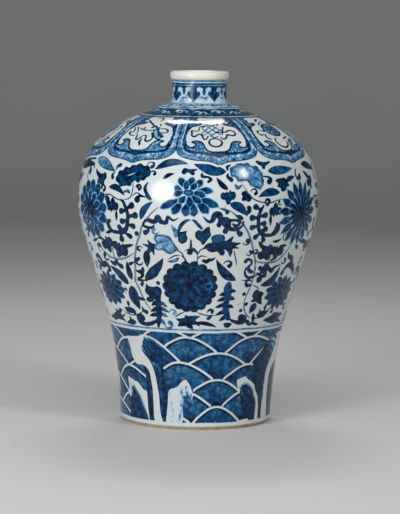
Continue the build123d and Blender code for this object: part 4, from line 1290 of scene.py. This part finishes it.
conch = (
    ((0.35,
      ((-6.6, 299), (-3, 304.6), (3.4, 304), (7, 298), (5.4, 290.4), (1.6, 284.6), (-0.6, 281),
       (-2.2, 287.4), (-5.8, 292.4))),),
    (),
    ((1.1, 0.85, ((-4.6, 300), (0.4, 297.6), (5.2, 299.4))),
     (1.1, 0.85, ((-3.7, 295.8), (0.4, 293.6), (4.2, 295.4))),
     (1.1, 0.85, ((-2.8, 291.6), (0.4, 289.6), (3.2, 291.4))),
     (1.8, 0.95, ((0, 281), (-3.6, 278), (-2.4, 273.8), (0.8, 273.2), (3.2, 277), (0, 281)))),
    ((1.7, 0.94, ((6, 294), (10, 297), (13, 294), (11.6, 289.6), (8, 288), (9.4, 283), (6, 280.6))),
     (1.7, 0.9, ((2.4, 305), (6, 309), (4, 313.4)))),
)
parasol = (
    ((0.4,
      ((-9, 293), (-7, 298.6), (-2.6, 303), (0, 306), (2.6, 303), (7, 298.6), (9, 293), (4.6, 294.6),
       (0, 293.4), (-4.6, 294.6))),),
    (), ((2, 0.92, ((0, 293), (0, 284), (0.4, 275))),),
    ((2.4, 0.8, ((2.2, 293.6), (2.4, 289), (2.5, 285.4))),
     (2.4, 0.8, ((6, 293.6), (6.6, 289), (6.9, 285.4))),
     (1.7, 0.94, ((1, 284), (5, 281.4), (8.4, 282.4), (11, 286.6), (13.2, 291.4), (11, 295.4))),
     (1.6, 0.9, ((1, 280), (4.2, 277), (2.2, 274))), (1.7, 0.9, ((2, 306), (5.6, 309.4), (3.6, 313.4)))),
)
canopy = (
    ((0.4, ((-5.6, 297), (-4.8, 302), (0, 303.4), (4.8, 302), (5.6, 297), (0, 296))),
     (0.4, ((-6.6, 290.4), (-5.8, 295.4), (0, 296.8), (5.8, 295.4), (6.6, 290.4), (0, 289.4))),
     (0.4, ((-5.6, 283.8), (-4.8, 288.8), (0, 290.2), (4.8, 288.8), (5.6, 283.8), (0, 282.8)))),
    (), ((2.4, 0.92, ((0, 283), (-0.6, 277), (0.4, 273))),),
    ((1.7, 0.94,
      ((6.4, 298), (10.4, 300), (12.8, 296), (10.2, 292), (12.6, 287.6), (9.6, 283.6), (6, 281))),
     (1.7, 0.9, ((1.8, 304), (5, 308.6), (3.2, 313.4)))),
)
lotus = (
    ((0.4, ((0, 289), (-2.6, 294), (-2, 300), (0, 304), (2, 300), (2.6, 294))),),
    ((0.45, ((1, 289), (3.4, 292.6), (5, 297.6), (4.6, 302), (2.8, 298.6), (2, 294))),
     (0.5, ((1.6, 288.6), (5.4, 290), (8.4, 294), (9.2, 298), (6.2, 296), (3.4, 292)))),
    ((2, 0.9, ((0, 289), (-1.2, 282), (0.4, 274))),),
    ((1.7, 0.94, ((2, 288.4), (6.8, 286.4), (11, 288.4), (13.4, 293.6), (11.6, 298.4))),
     (3, 0.85, ((0.8, 279.6), (4.4, 281.4), (7.2, 279.4))),
     (1.7, 0.9, ((3, 305), (6.4, 309), (4.4, 313)))),
)
treasure_jar = (
    ((0.38,
      ((-2.6, 281), (-5.6, 287), (-7, 293.6), (-4, 298.4), (-3.4, 301.6), (0, 304.6), (3.4, 301.6),
       (4, 298.4), (7, 293.6), (5.6, 287), (2.6, 281))),),
    (),
    ((1.4, 0.92, ((-4, 298.6), (0, 297.6), (4, 298.6))), (1.2, 0.85, ((-6, 291), (0, 289.6), (6, 291))),
     (2, 0.92, ((-4.6, 280.6), (0, 279.4), (4.6, 280.6)))),
    ((1.7, 0.94, ((7, 294.4), (11, 298), (13.4, 293.8), (10.6, 290), (12.4, 285), (8, 281.6))),
     (1.6, 0.9, ((1, 279), (4, 275.6), (1.4, 273.2))), (1.7, 0.9, ((2, 304.8), (6, 308.4), (4, 313)))),
)
twin_fish = (
    ((0.24,
      ((3.8, 295.6), (7, 296.4), (8.4, 292), (9.4, 288.4), (12.2, 285), (11, 281.4), (8, 282.6),
       (5.6, 287), (4, 291))),),
    (),
    ((2.4, 0.5, ((-8.5, 297), (-4.6, 294.6), (0.6, 294.2), (4.4, 296), (6.4, 299.8))),
     (2.6, 0.7, ((0, 302.4), (3.4, 300.4), (5.4, 297.6))), (3.4, 0.98, ((-5.4, 298), (-5, 297.4))),
     (3.8, 0.98, ((0.7, 299.6), (1.1, 298.8))),
     (1.8, 0.95,
      ((6, 297), (9.4, 297.6), (12.6, 296.6), (14, 294.2), (13.2, 291.6), (10.4, 291.2), (7.6, 292.2))),
     (1.8, 0.75, ((9.2, 289.8), (11.4, 287.6), (12.6, 284.8))),
     (1.9, 0.95,
      ((-0.6, 286.6), (1.2, 285.6), (1.6, 281.6), (3.2, 279), (5.4, 280), (6, 283), (5, 286.6),
       (3.4, 290.4))),
     (1.8, 0.95, ((-6.6, 288), (-5.6, 283.6), (-5, 281.2), (-3.6, 281), (-2.6, 283.6), (-1.6, 286.4))),
     (2.6, 0.95, ((-1.2, 282), (-1, 277.6), (0.2, 273.6))),
     (1.8, 0.95,
      ((-15, 297.4), (-13.4, 295.8), (-12, 292.4), (-13, 290.4), (-15.4, 290.4), (-13.6, 288),
       (-11.6, 286), (-8.4, 285.4))),
     (1.6, 0.7, ((-12.8, 299), (-10.6, 296.4), (-8.6, 292.4), (-8.4, 289))),
     (2, 0.9, ((-9.4, 311.4), (-4.6, 307), (0.2, 302.6))),
     (2, 0.92, ((-3.4, 316.4), (0.4, 317.4), (3.4, 314.4), (2.6, 311.4))),
     (1.8, 0.9, ((4.8, 304.6), (6.4, 302.2)))),
    (),
)
emblems = (endless_knot, wheel, conch, parasol, canopy, lotus, treasure_jar, twin_fish)


def draw_emblem(plan, middle, emblem):
    shapes, twin_shapes, strokes, twin_strokes = emblem
    rounds = ((1, shapes, strokes), (1, twin_shapes, twin_strokes), (-1, twin_shapes, twin_strokes))
    for side, some_shapes, some_strokes in rounds:
        for tone, places in some_shapes:
            patch(plan, set_out(middle, places, side), tone, rim=0.92, rim_width=1.0)
        for width, tone, places in some_strokes:
            line(plan, set_out(middle, places, side), width, tone, taper=(0.7, 0.7))


# Rings over the lappets, by their middle, width and tone
lappet_rings = ((320.8, 2.6, 0.85), (323.4, 1.5, 0.06), (325, 1.6, 0.9))


def paint_lappets():
    plan = Plan(low=250, high=326, columns=1440, repeats=1)
    lappet_ground(plan)
    for number, emblem in enumerate(emblems):
        middle = first_lappet + lappet_pitch * number
        lappet_corners(plan, middle)
        draw_emblem(plan, middle, emblem)
    rings(plan, lappet_rings)
    return plan


# The cloud scrolls of the collar, the small tails beside each, and the keys of the ring above them
collar_clouds = 16
cloud_arc = 332.4
cloud_stagger = 1.2
small_tails = ((9, 336, 0.3), (7, 327.6, 0.35))
key_count = 40
key_arc = 347.2
key_size = 1.25
cloud_scroll = ((-4.2, -1.6), (-3, 1.4), (-0.6, 2.6), (1.6, 1.2), (1, -0.8), (-0.6, -0.4))
cloud_tail = ((1.4, 1.4), (3.6, 2.8), (5.8, 1.6), (5, -0.6))
collar_rings = (
    (332.6, 14.4, 0.84), (340.7, 1.6, 0.02), (342.2, 1.1, 0.6), (347.4, 9.2, 0.08), (352.2, 1, 0.5),
)
key_stroke = ((-1.9, -2.4), (-1.9, 2.2), (1.5, 2.2), (1.5, -1.2), (-0.5, -1.2), (-0.5, 0.8))


def paint_collar():
    plan = Plan(low=316, high=362, columns=720, repeats=1)
    rings(plan, lappet_rings)
    rings(plan, collar_rings)
    for number in range(collar_clouds):
        angle = first_lappet + 360 / collar_clouds * (number + 0.5)
        spot = Spot(angle, cloud_arc + cloud_stagger * (-1) ** number, turn=-12, size=1.25)
        for places, width in ((cloud_scroll, 2.1), (cloud_tail, 1.6)):
            line(plan, spot.at(places), width, 0.04)
        for ahead, arc, tone in small_tails:
            line(plan, Spot(angle + ahead, arc).at(cloud_tail), 1.1, tone)
    for number in range(key_count):
        spot = Spot(360 / key_count * number, key_arc, size=key_size, hand=(-1) ** number)
        line(plan, spot.at(key_stroke), 1.0, 0.6, smooth=False)
    return plan


# The ground of the neck and the rings over it, by their middle, width and tone
neck_rings = ((364.1, 18.4, 0.78), (371.2, 0.9, 0.2), (375.4, 2.2, 0.34))

# The pale heads round the neck: half an outline, in degrees from its middle and arc lengths, and the
# dark core; then the core that stands between two heads, and the stroke under each
neck_head = (
    (0, 367), (3.4, 368.4), (8.4, 369.6), (13.6, 369.4), (17.2, 367.6), (17, 365.4), (14.2, 364.6),
    (11, 365.2), (9, 364.4), (8.6, 363), (9.6, 361.8), (11.8, 360.6), (14.8, 359.2), (18.2, 357.6),
    (20.8, 356), (22.3, 354.2),
)
neck_head_core = (
    (0, 367.4), (3, 366.6), (3.4, 364.8), (2.2, 363), (0, 362), (-2.2, 363), (-3.4, 364.8), (-3, 366.6),
)
neck_pendant_core = (
    (0, 367.4), (5, 368), (7, 365.4), (4, 362.4), (0, 359.8), (-4, 362.4), (-7, 365.4), (-5, 368),
)
neck_dash = ((-4.4, 359.4, 0.9), (0, 359, 1.7), (4.4, 359.4, 0.9))


def paint_neck():
    plan = Plan(low=352, high=440, columns=720, repeats=1)
    rings(plan, neck_rings)
    for number in range(lappet_count):
        middle = first_lappet + lappet_pitch * number
        head = set_out(middle, neck_head) + set_out(middle, neck_head[:0:-1], side=-1)
        patch(plan, head, tone=0.02, rim=0.1, rim_width=0.5)
        patch(plan, set_out(middle, neck_head_core), tone=0.6, rim=0.8, rim_width=0.5)
        limb(plan, set_out(middle, neck_dash), 0.4)
        between_heads = set_out(middle + lappet_pitch / 2, neck_pendant_core)
        patch(plan, between_heads, tone=0.55, rim=0.95, rim_width=0.8)
    return plan


def colour(red, green, blue):
    """A colour that is given as red, green and blue out of 255, as the renderer takes it."""
    shares = np.array((red, green, blue)) / 255
    linear = np.where(shares <= 0.0404, shares / 12.92, ((shares + 0.055) / 1.055) ** 2.4)
    return (*linear.tolist(), 1.0)


WHITE_GLAZE = colour(193, 205, 209)
WARM_GLAZE = colour(203, 207, 204)
LIP_GLAZE = colour(216, 217, 206)
BISCUIT = colour(186, 168, 140)
BISCUIT_BROWN = colour(150, 124, 94)
SLIP = colour(214, 208, 196)

# The cobalt under the glaze, from the palest wash to the darkest stroke, and the blue bled round it
COBALT = (
    (0.00, colour(192, 206, 214)),
    (0.08, colour(150, 184, 206)),
    (0.25, colour(86, 136, 172)),
    (0.50, colour(22, 86, 128)),
    (0.75, colour(0, 50, 92)),
    (1.00, colour(0, 8, 30)),
)
HALO = colour(166, 186, 200)

# How rough each finish is; the painted glaze differs from patch to patch
GLAZE_ROUGHNESS = (0.07, 0.13)
GLAZE_SPECULAR = 0.25
CLAY_GLAZE_ROUGHNESS = 0.1
BISCUIT_ROUGHNESS = 0.65
SLIP_ROUGHNESS = 0.25

# The glaze's skin like orange peel and the biscuit's grain: patches to a metre, and depth in metres
PEEL = {"scale": 240, "strength": 0.06, "depth": 0.0004}
BISCUIT_GRAIN = {"scale": 900, "strength": 0.1, "depth": 0.0002}

# Over what height the glaze turns paler and warmer towards the lip, and how soft the edge of the bare
# biscuit is, in mm
LIP_BLEND = 1.6
BISCUIT_EDGE = 0.2

# How far the cobalt's tone varies in its strokes: where it pooled, and in fine dark specks
POOLING = (-0.26, 0.19)
SPECKS = (0.0, 0.12)


class Wires:
    """A node tree, with short ways to add its nodes and to join them."""

    def __init__(self, tree):
        self.nodes, self.links = tree.nodes, tree.links

    def join(self, source, socket):
        self.links.new(source, socket)

    def add(self, kind, **values):
        """A node of this kind. Values are its own properties, or its inputs by name."""
        node = self.nodes.new(kind)
        for name, value in values.items():
            if hasattr(node, name):
                setattr(node, name, value)
            else:
                node.inputs[name.replace("_", " ")].default_value = value
        return node

    def fill(self, sockets, values):
        """Gives each socket its value, or joins it to what its value comes from."""
        for socket, value in zip(sockets, values):
            if isinstance(value, (int, float, tuple)):
                socket.default_value = value
            else:
                self.join(value, socket)

    def noise(self, scale, detail=2.0):
        """A noise texture on the object's own coordinates, at this many patches to a metre."""
        place = self.add("ShaderNodeTexCoord")
        texture = self.add("ShaderNodeTexNoise", Scale=scale, Detail=detail)
        self.join(place.outputs["Object"], texture.inputs["Vector"])
        return texture.outputs["Fac"]

    def remap(self, source, low, high, to_low=0.0, to_high=1.0, smooth=False):
        node = self.add("ShaderNodeMapRange", From_Min=low, From_Max=high, To_Min=to_low, To_Max=to_high)
        if smooth:
            node.interpolation_type = "SMOOTHSTEP"
        self.join(source, node.inputs["Value"])
        return node.outputs["Result"]

    def maths(self, operation, first, second):
        node = self.add("ShaderNodeMath", operation=operation)
        self.fill(node.inputs, (first, second))
        return node.outputs["Value"]

    def blend(self, share, first, second):
        """The first colour where the share is 0 and the second where it is 1."""
        node = self.add("ShaderNodeMix", data_type="RGBA")
        self.join(share, node.inputs["Factor"])
        self.fill((node.inputs[6], node.inputs[7]), (first, second))
        return node.outputs[2]

    def own_height(self):
        """How high each place lies on the object."""
        split = self.add("ShaderNodeSeparateXYZ")
        self.join(self.add("ShaderNodeTexCoord").outputs["Object"], split.inputs["Vector"])
        return split.outputs["Z"]

    def uneven(self, shader, scale, strength, depth):
        """Fine hills and dips on the surface."""
        bump = self.add("ShaderNodeBump", Strength=strength, Distance=depth)
        self.join(self.noise(scale, 3.0), bump.inputs["Height"])
        self.join(bump.outputs["Normal"], shader.inputs["Normal"])


def new_material(name):
    material = bpy.data.materials.new(name)
    material.use_nodes = True
    return material, Wires(material.node_tree), material.node_tree.nodes["Principled BSDF"]


def glaze_colour(wires):
    """The clear glaze over white porcelain: warmer in places, and paler and warmer on the lip."""
    patchy = wires.remap(wires.noise(25), 0.35, 0.65)
    body = wires.blend(patchy, WHITE_GLAZE, WARM_GLAZE)
    level = wires.own_height()
    on_lip = wires.remap(level, lip_foot_height * MM, (lip_foot_height + LIP_BLEND) * MM)
    return wires.blend(on_lip, body, LIP_GLAZE)


def painted_glaze():
    """Cobalt painting under the glaze, read from what the plans left on the surface."""
    material, wires, shader = new_material("painted_glaze")
    paint = wires.add("ShaderNodeAttribute", attribute_name="paint").outputs["Fac"]
    tone = wires.add("ShaderNodeAttribute", attribute_name="tone").outputs["Fac"]
    cover = wires.remap(paint, 0.36, 0.64, smooth=True)
    pooled = wires.remap(wires.noise(230, 3.0), 0.3, 0.7, *POOLING)
    speckle = wires.remap(wires.noise(900, 2.0), 0.58, 0.72, *SPECKS)
    deep = wires.maths("ADD", wires.maths("ADD", tone, pooled), speckle)
    ramp = wires.add("ShaderNodeValToRGB")
    wires.join(deep, ramp.inputs["Fac"])
    stops = ramp.color_ramp.elements
    while len(stops) < len(COBALT):
        stops.new(0.5)
    for stop, (position, shade) in zip(stops, COBALT):
        stop.position = position
        stop.color = shade
    bled = wires.remap(paint, 0.02, 0.45, 0.0, 0.7)
    ground = wires.blend(bled, glaze_colour(wires), HALO)
    painted = wires.blend(cover, ground, ramp.outputs["Color"])
    wires.join(painted, shader.inputs["Base Color"])
    gloss = wires.remap(wires.noise(60), 0.3, 0.7, *GLAZE_ROUGHNESS)
    wires.join(gloss, shader.inputs["Roughness"])
    shader.inputs["Specular IOR Level"].default_value = GLAZE_SPECULAR
    wires.uneven(shader, **PEEL)
    return material


def clay_under_glaze():
    """White glaze all over, but for the bare biscuit of the bevel and the foot ring."""
    material, wires, shader = new_material("glaze_and_biscuit")
    level = wires.own_height()
    glazed_from, bare_from = bevel_height + BISCUIT_EDGE, bevel_height - BISCUIT_EDGE
    unglazed = wires.remap(level, glazed_from * MM, bare_from * MM)
    stain = wires.remap(wires.noise(180, 4.0), 0.45, 0.7)
    biscuit = wires.blend(stain, BISCUIT, BISCUIT_BROWN)
    fired = wires.blend(unglazed, glaze_colour(wires), biscuit)
    wires.join(fired, shader.inputs["Base Color"])
    rough = wires.remap(unglazed, 0, 1, CLAY_GLAZE_ROUGHNESS, BISCUIT_ROUGHNESS)
    wires.join(rough, shader.inputs["Roughness"])
    wires.uneven(shader, **BISCUIT_GRAIN)
    return material


def luting_slip():
    """The slip that joins the sections, fired under the same glaze."""
    material, wires, shader = new_material("luting_slip")
    grain = wires.remap(wires.noise(300, 3.0), 0.3, 0.7)
    wires.join(wires.blend(grain, SLIP, WHITE_GLAZE), shader.inputs["Base Color"])
    shader.inputs["Roughness"].default_value = SLIP_ROUGHNESS
    return material


def glaze_section(low, high, row_step, inner_row_step):
    """The section of one glaze band: up its outside, then back down against the clay."""
    rows, inner_rows = (max(int(round((high - low) / step)), 1) for step in (row_step, inner_row_step))
    outer = np.linspace(low, high, rows + 1)
    inner = np.linspace(high, low, inner_rows + 1)
    arcs = np.concatenate([outer, inner])
    depth = np.concatenate([np.full(len(outer), glaze_depth), np.full(len(inner), glaze_clearance)])
    away, up = outward_at(arcs)
    section = bpy.data.meshes.new("glaze_section")
    count = len(arcs)
    radii, heights = radius_at(arcs) + depth * away, height_at(arcs) + depth * up
    places = np.stack([radii * MM, 0 * radii, heights * MM], axis=1)
    section.from_pydata(places.tolist(), [(i, (i + 1) % count) for i in range(count)], [])
    stored = {
        "section_radius": radii * MM,
        "section_height": heights * MM,
        "arc": arcs,
        "outside": (depth > glaze_clearance).astype(float),
    }
    for name, values in stored.items():
        section.attributes.new(name, "FLOAT", "POINT").data.foreach_set("value", values)
    return section


def turning_tree():
    """Turns a section once round the vase's axis and keeps each point's angle."""
    tree = bpy.data.node_groups.new("turned_round_the_axis", "GeometryNodeTree")
    tree.interface.new_socket("Section", in_out="INPUT", socket_type="NodeSocketGeometry")
    columns = tree.interface.new_socket("Columns", in_out="INPUT", socket_type="NodeSocketInt")
    finish = tree.interface.new_socket("Finish", in_out="INPUT", socket_type="NodeSocketMaterial")
    tree.interface.new_socket("Turned", in_out="OUTPUT", socket_type="NodeSocketGeometry")
    wires = Wires(tree)
    given, result = wires.add("NodeGroupInput"), wires.add("NodeGroupOutput")

    def stored(name):
        node = wires.add("GeometryNodeInputNamedAttribute", data_type="FLOAT")
        node.inputs["Name"].default_value = name
        return node.outputs["Attribute"]

    profile = wires.add("GeometryNodeMeshToCurve")
    wires.join(given.outputs["Section"], profile.inputs["Mesh"])
    circle = wires.add("GeometryNodeCurvePrimitiveCircle")
    wires.join(given.outputs["Columns"], circle.inputs["Resolution"])
    index = wires.add("GeometryNodeInputIndex")
    step = wires.maths("DIVIDE", 2 * math.pi, given.outputs["Columns"])
    turn = wires.maths("MULTIPLY", index.outputs["Index"], step)
    marked = wires.add("GeometryNodeStoreNamedAttribute", data_type="FLOAT", domain="POINT")
    marked.inputs["Name"].default_value = "turn"
    wires.join(circle.outputs["Curve"], marked.inputs["Geometry"])
    wires.join(turn, marked.inputs["Value"])
    swept = wires.add("GeometryNodeCurveToMesh")
    wires.join(marked.outputs["Geometry"], swept.inputs["Curve"])
    wires.join(profile.outputs["Curve"], swept.inputs["Profile Curve"])
    sine = wires.add("ShaderNodeMath", operation="SINE")
    cosine = wires.add("ShaderNodeMath", operation="COSINE")
    for node in (sine, cosine):
        wires.join(stored("turn"), node.inputs[0])
    away = stored("section_radius")
    place = wires.add("ShaderNodeCombineXYZ")
    wires.join(wires.maths("MULTIPLY", away, sine.outputs["Value"]), place.inputs["X"])
    back = wires.maths("MULTIPLY", away, cosine.outputs["Value"])
    wires.join(wires.maths("MULTIPLY", back, -1.0), place.inputs["Y"])
    wires.join(stored("section_height"), place.inputs["Z"])
    placed = wires.add("GeometryNodeSetPosition")
    wires.join(swept.outputs["Mesh"], placed.inputs["Geometry"])
    wires.join(place.outputs["Vector"], placed.inputs["Position"])
    whole = wires.add("GeometryNodeRealizeInstances")
    wires.join(placed.outputs["Geometry"], whole.inputs["Geometry"])
    finished = wires.add("GeometryNodeSetMaterial")
    wires.join(whole.outputs["Geometry"], finished.inputs["Geometry"])
    wires.join(given.outputs["Finish"], finished.inputs["Material"])
    wires.join(finished.outputs["Geometry"], result.inputs["Turned"])
    return tree, columns.identifier, finish.identifier


def values_of(mesh, name):
    values = np.zeros(len(mesh.vertices), np.float32)
    mesh.attributes[name].data.foreach_get("value", values)
    return values.astype(float)


def volume_of(mesh):
    """The volume of a closed mesh of quads; it is negative where the faces point inwards."""
    places = np.zeros(len(mesh.vertices) * 3, np.float32)
    mesh.vertices.foreach_get("co", places)
    corners = np.zeros(len(mesh.loops), np.int32)
    mesh.loops.foreach_get("vertex_index", corners)
    quads = places.reshape(-1, 3)[corners.reshape(-1, 4)]
    a, b, c, d = (quads[:, i] for i in range(4))
    return float((np.cross(b, c) * a).sum() + (np.cross(c, d) * a).sum()) / 6


# How far a drawn line strays, and over what length, in millimetres
hand_wander = 0.35
wander_length = 7.0


def wander(angles, arcs):
    """How far a hand-drawn line strays sideways and upwards, in millimetres."""
    across = np.radians(angles) * radius_at(arcs) / wander_length
    up = arcs / wander_length
    drift = np.sin(1.7 * across + 2.1 * np.sin(0.9 * up))
    drift += np.sin(1.3 * up + 1.9 * np.sin(0.7 * across + 1.0))
    lift = np.cos(1.9 * up + 1.5 * np.sin(1.1 * across))
    return hand_wander * drift / 2, hand_wander * lift / 2


def glaze_band(name, tree, plan, low, high, steps, columns, material):
    """One turned band of glaze with its part of the painting."""
    tree, columns_input, finish_input = tree
    carrier = bpy.data.objects.new(name + "_section", glaze_section(low, high, *steps))
    bpy.context.scene.collection.objects.link(carrier)
    turning = carrier.modifiers.new("turning", "NODES")
    turning.node_group = tree
    turning[columns_input] = columns
    turning[finish_input] = material
    shown = carrier.evaluated_get(bpy.context.evaluated_depsgraph_get())
    mesh = bpy.data.meshes.new_from_object(shown)
    carrier.modifiers.remove(turning)
    bpy.data.objects.remove(carrier)
    mesh.name = name
    if volume_of(mesh) < 0:
        mesh.flip_normals()
    arcs, turns, outside = (values_of(mesh, item) for item in ("arc", "turn", "outside"))
    angles = np.degrees(turns)
    sideways, upwards = wander(angles, arcs)
    at_angles = angles + np.degrees(sideways / radius_at(arcs))
    paint, tone = plan.sample(at_angles, arcs + upwards)
    for item, values in (("paint", paint * outside), ("tone", tone)):
        mesh.attributes.new(item, "FLOAT", "POINT").data.foreach_set("value", values.astype(np.float32))
    away, up = outward_at(arcs)
    side = np.where(outside > 0.5, 1.0, -1.0)
    normals = np.stack([side * away * np.sin(turns), -side * away * np.cos(turns), side * up], axis=1)
    mesh.polygons.foreach_set("use_smooth", np.ones(len(mesh.polygons), bool))
    mesh.normals_split_custom_set_from_vertices(normals.tolist())
    for item in ("section_radius", "section_height", "outside"):
        mesh.attributes.remove(mesh.attributes[item])
    piece = bpy.data.objects.new(name, mesh)
    bpy.context.scene.collection.objects.link(piece)
    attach(piece, "root")


# Where each kind of painting ends, in arc lengths, and how each is cut: the pieces, how far apart the
# rows stand outside and inside, and the columns round the vase
wave_top, scroll_top, lappet_top, collar_top = 92.0, 262.0, 322.0, 353.2
throat_end = outline_arcs[-1]
glaze_cuts = (
    ("wave_glaze", paint_waves, 0.0, wave_top, 2, (0.55, body_inner_row_step), 900),
    ("scroll_glaze", paint_scroll, wave_top, scroll_top, 4, (0.6, body_inner_row_step), 1200),
    ("lappet_glaze", paint_lappets, scroll_top, lappet_top, 2, (0.5, body_inner_row_step), 1200),
    ("collar_glaze", paint_collar, lappet_top, collar_top, 1, (0.5, neck_inner_row_step), 600),
    ("neck_and_lip_glaze", paint_neck, collar_top, throat_end, 1, (0.5, neck_inner_row_step), 360),
)


def glaze_bands():
    """The glaze from the bevel to the throat, in bands that meet edge to edge."""
    material = painted_glaze()
    tree = turning_tree()
    for name, paint_plan, low, high, count, steps, columns in glaze_cuts:
        plan = paint_plan()
        ends = np.linspace(low, high, count + 1)
        for number in range(count):
            label = name if count == 1 else f"{name}_{number + 1}"
            glaze_band(label, tree, plan, ends[number], ends[number + 1], steps, columns, material)


def dress_clay():
    clay, slip = clay_under_glaze(), luting_slip()
    for names, material in ((CLAY_SECTIONS, clay), (SLIP_JOINTS, slip)):
        for name in names:
            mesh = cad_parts[name].data
            mesh.materials.clear()
            mesh.materials.append(material)


# The studio, in metres and degrees: the camera, and a pale floor that curves up behind
camera_distance = 2.3
camera_height = 0.385
camera_aside = 0.0026
camera_lens = 168.2
camera_pitch = 5.67
camera_roll = 0.73
floor_greys = (colour(194, 194, 193), colour(198, 198, 197))
floor_half_width = 4.0
floor_depth_behind = 2.4
floor_bend = 1.2
floor_bend_steps = 12
floor_top = 4.0

# The room's own light
ROOM_COLOUR = colour(225, 228, 230)
room_strength = 0.2

# The soft boxes: place, width, height, power, and whether the cloth is dim at its edges. The cloth's
# light falls off between these two distances from its middle, as shares of its width and height.
lit_middle = (0.0, 0.0, 0.17)
cloth_bright_to = 0.12
cloth_dark_from = 0.6
soft_boxes = {
    "key_box": ((-0.83, -1.29, 0.51), 0.7, 0.64, 33, True),
    "fill_box": ((1.02, -0.97, 0.98), 0.36, 0.4, 15, True),
    "top_box": ((-0.03, 0.75, 1.25), 0.42, 0.25, 5, False),
    "high_box": ((0.0, -1.3, 2.2), 2.3, 0.9, 17, False),
}


def studio_camera():
    data = bpy.data.cameras.new("studio_camera")
    data.lens = camera_lens
    camera = bpy.data.objects.new("studio_camera", data)
    bpy.context.scene.collection.objects.link(camera)
    camera.matrix_world = (
        Matrix.Translation((camera_aside, -camera_distance, camera_height))
        @ Matrix.Rotation(math.radians(90 - camera_pitch), 4, "X")
        @ Matrix.Rotation(math.radians(camera_roll), 4, "Z")
    )
    bpy.context.scene.camera = camera


def studio_floor():
    material, wires, shader = new_material("studio_floor")
    grain = wires.remap(wires.noise(3.0), 0.3, 0.7)
    shade = wires.blend(grain, *floor_greys)
    wires.join(shade, shader.inputs["Base Color"])
    shader.inputs["Roughness"].default_value = 0.8
    section = [(-floor_half_width, 0.0), (floor_depth_behind, 0.0)]
    for turn in np.linspace(0, math.pi / 2, floor_bend_steps + 1)[1:]:
        back = floor_depth_behind + floor_bend * math.sin(turn)
        section.append((back, floor_bend - floor_bend * math.cos(turn)))
    section.append((floor_depth_behind + floor_bend, floor_top))
    vertices = [(x, y, z) for y, z in section for x in (-floor_half_width, floor_half_width)]
    faces = [(2 * i, 2 * i + 1, 2 * i + 3, 2 * i + 2) for i in range(len(section) - 1)]
    mesh = bpy.data.meshes.new("studio_floor")
    mesh.from_pydata(vertices, [], faces)
    mesh.polygons.foreach_set("use_smooth", [True] * len(faces))
    mesh.materials.append(material)
    floor = bpy.data.objects.new("studio_floor", mesh)
    bpy.context.scene.collection.objects.link(floor)


def dim_the_edges(data):
    """The cloth of a soft box is brightest in its middle and fades out towards its sides."""
    data.use_nodes = True
    wires = Wires(data.node_tree)
    across = wires.add("ShaderNodeSeparateXYZ")
    wires.join(wires.add("ShaderNodeNewGeometry").outputs["Parametric"], across.inputs["Vector"])
    side = wires.maths("SUBTRACT", across.outputs["X"], 0.5)
    rise = wires.maths("SUBTRACT", across.outputs["Y"], 0.5)
    squares = [wires.maths("MULTIPLY", way, way) for way in (side, rise)]
    off_middle = wires.maths("POWER", wires.maths("ADD", *squares), 0.5)
    glow = wires.remap(off_middle, cloth_bright_to, cloth_dark_from, 1.0, 0.0, smooth=True)
    wires.join(glow, wires.nodes["Emission"].inputs["Strength"])


def soft_box(name, place, width, tall, power, dim_edges):
    data = bpy.data.lights.new(name, "AREA")
    data.shape = "RECTANGLE"
    data.size, data.size_y, data.energy = width, tall, power
    if dim_edges:
        dim_the_edges(data)
    lamp = bpy.data.objects.new(name, data)
    bpy.context.scene.collection.objects.link(lamp)
    lamp.location = place
    way = Vector(lit_middle) - lamp.location
    lamp.rotation_euler = way.to_track_quat("-Z", "Y").to_euler()


def studio_light():
    world = bpy.data.worlds.new("studio")
    bpy.context.scene.world = world
    world.use_nodes = True
    background = world.node_tree.nodes["Background"]
    background.inputs["Color"].default_value = ROOM_COLOUR
    background.inputs["Strength"].default_value = room_strength
    for name, box in soft_boxes.items():
        soft_box(name, *box)


bpy.context.scene.view_settings.view_transform = "Standard"
studio_camera()
studio_floor()
studio_light()
dress_clay()
glaze_bands()

bpy.context.view_layer.update()
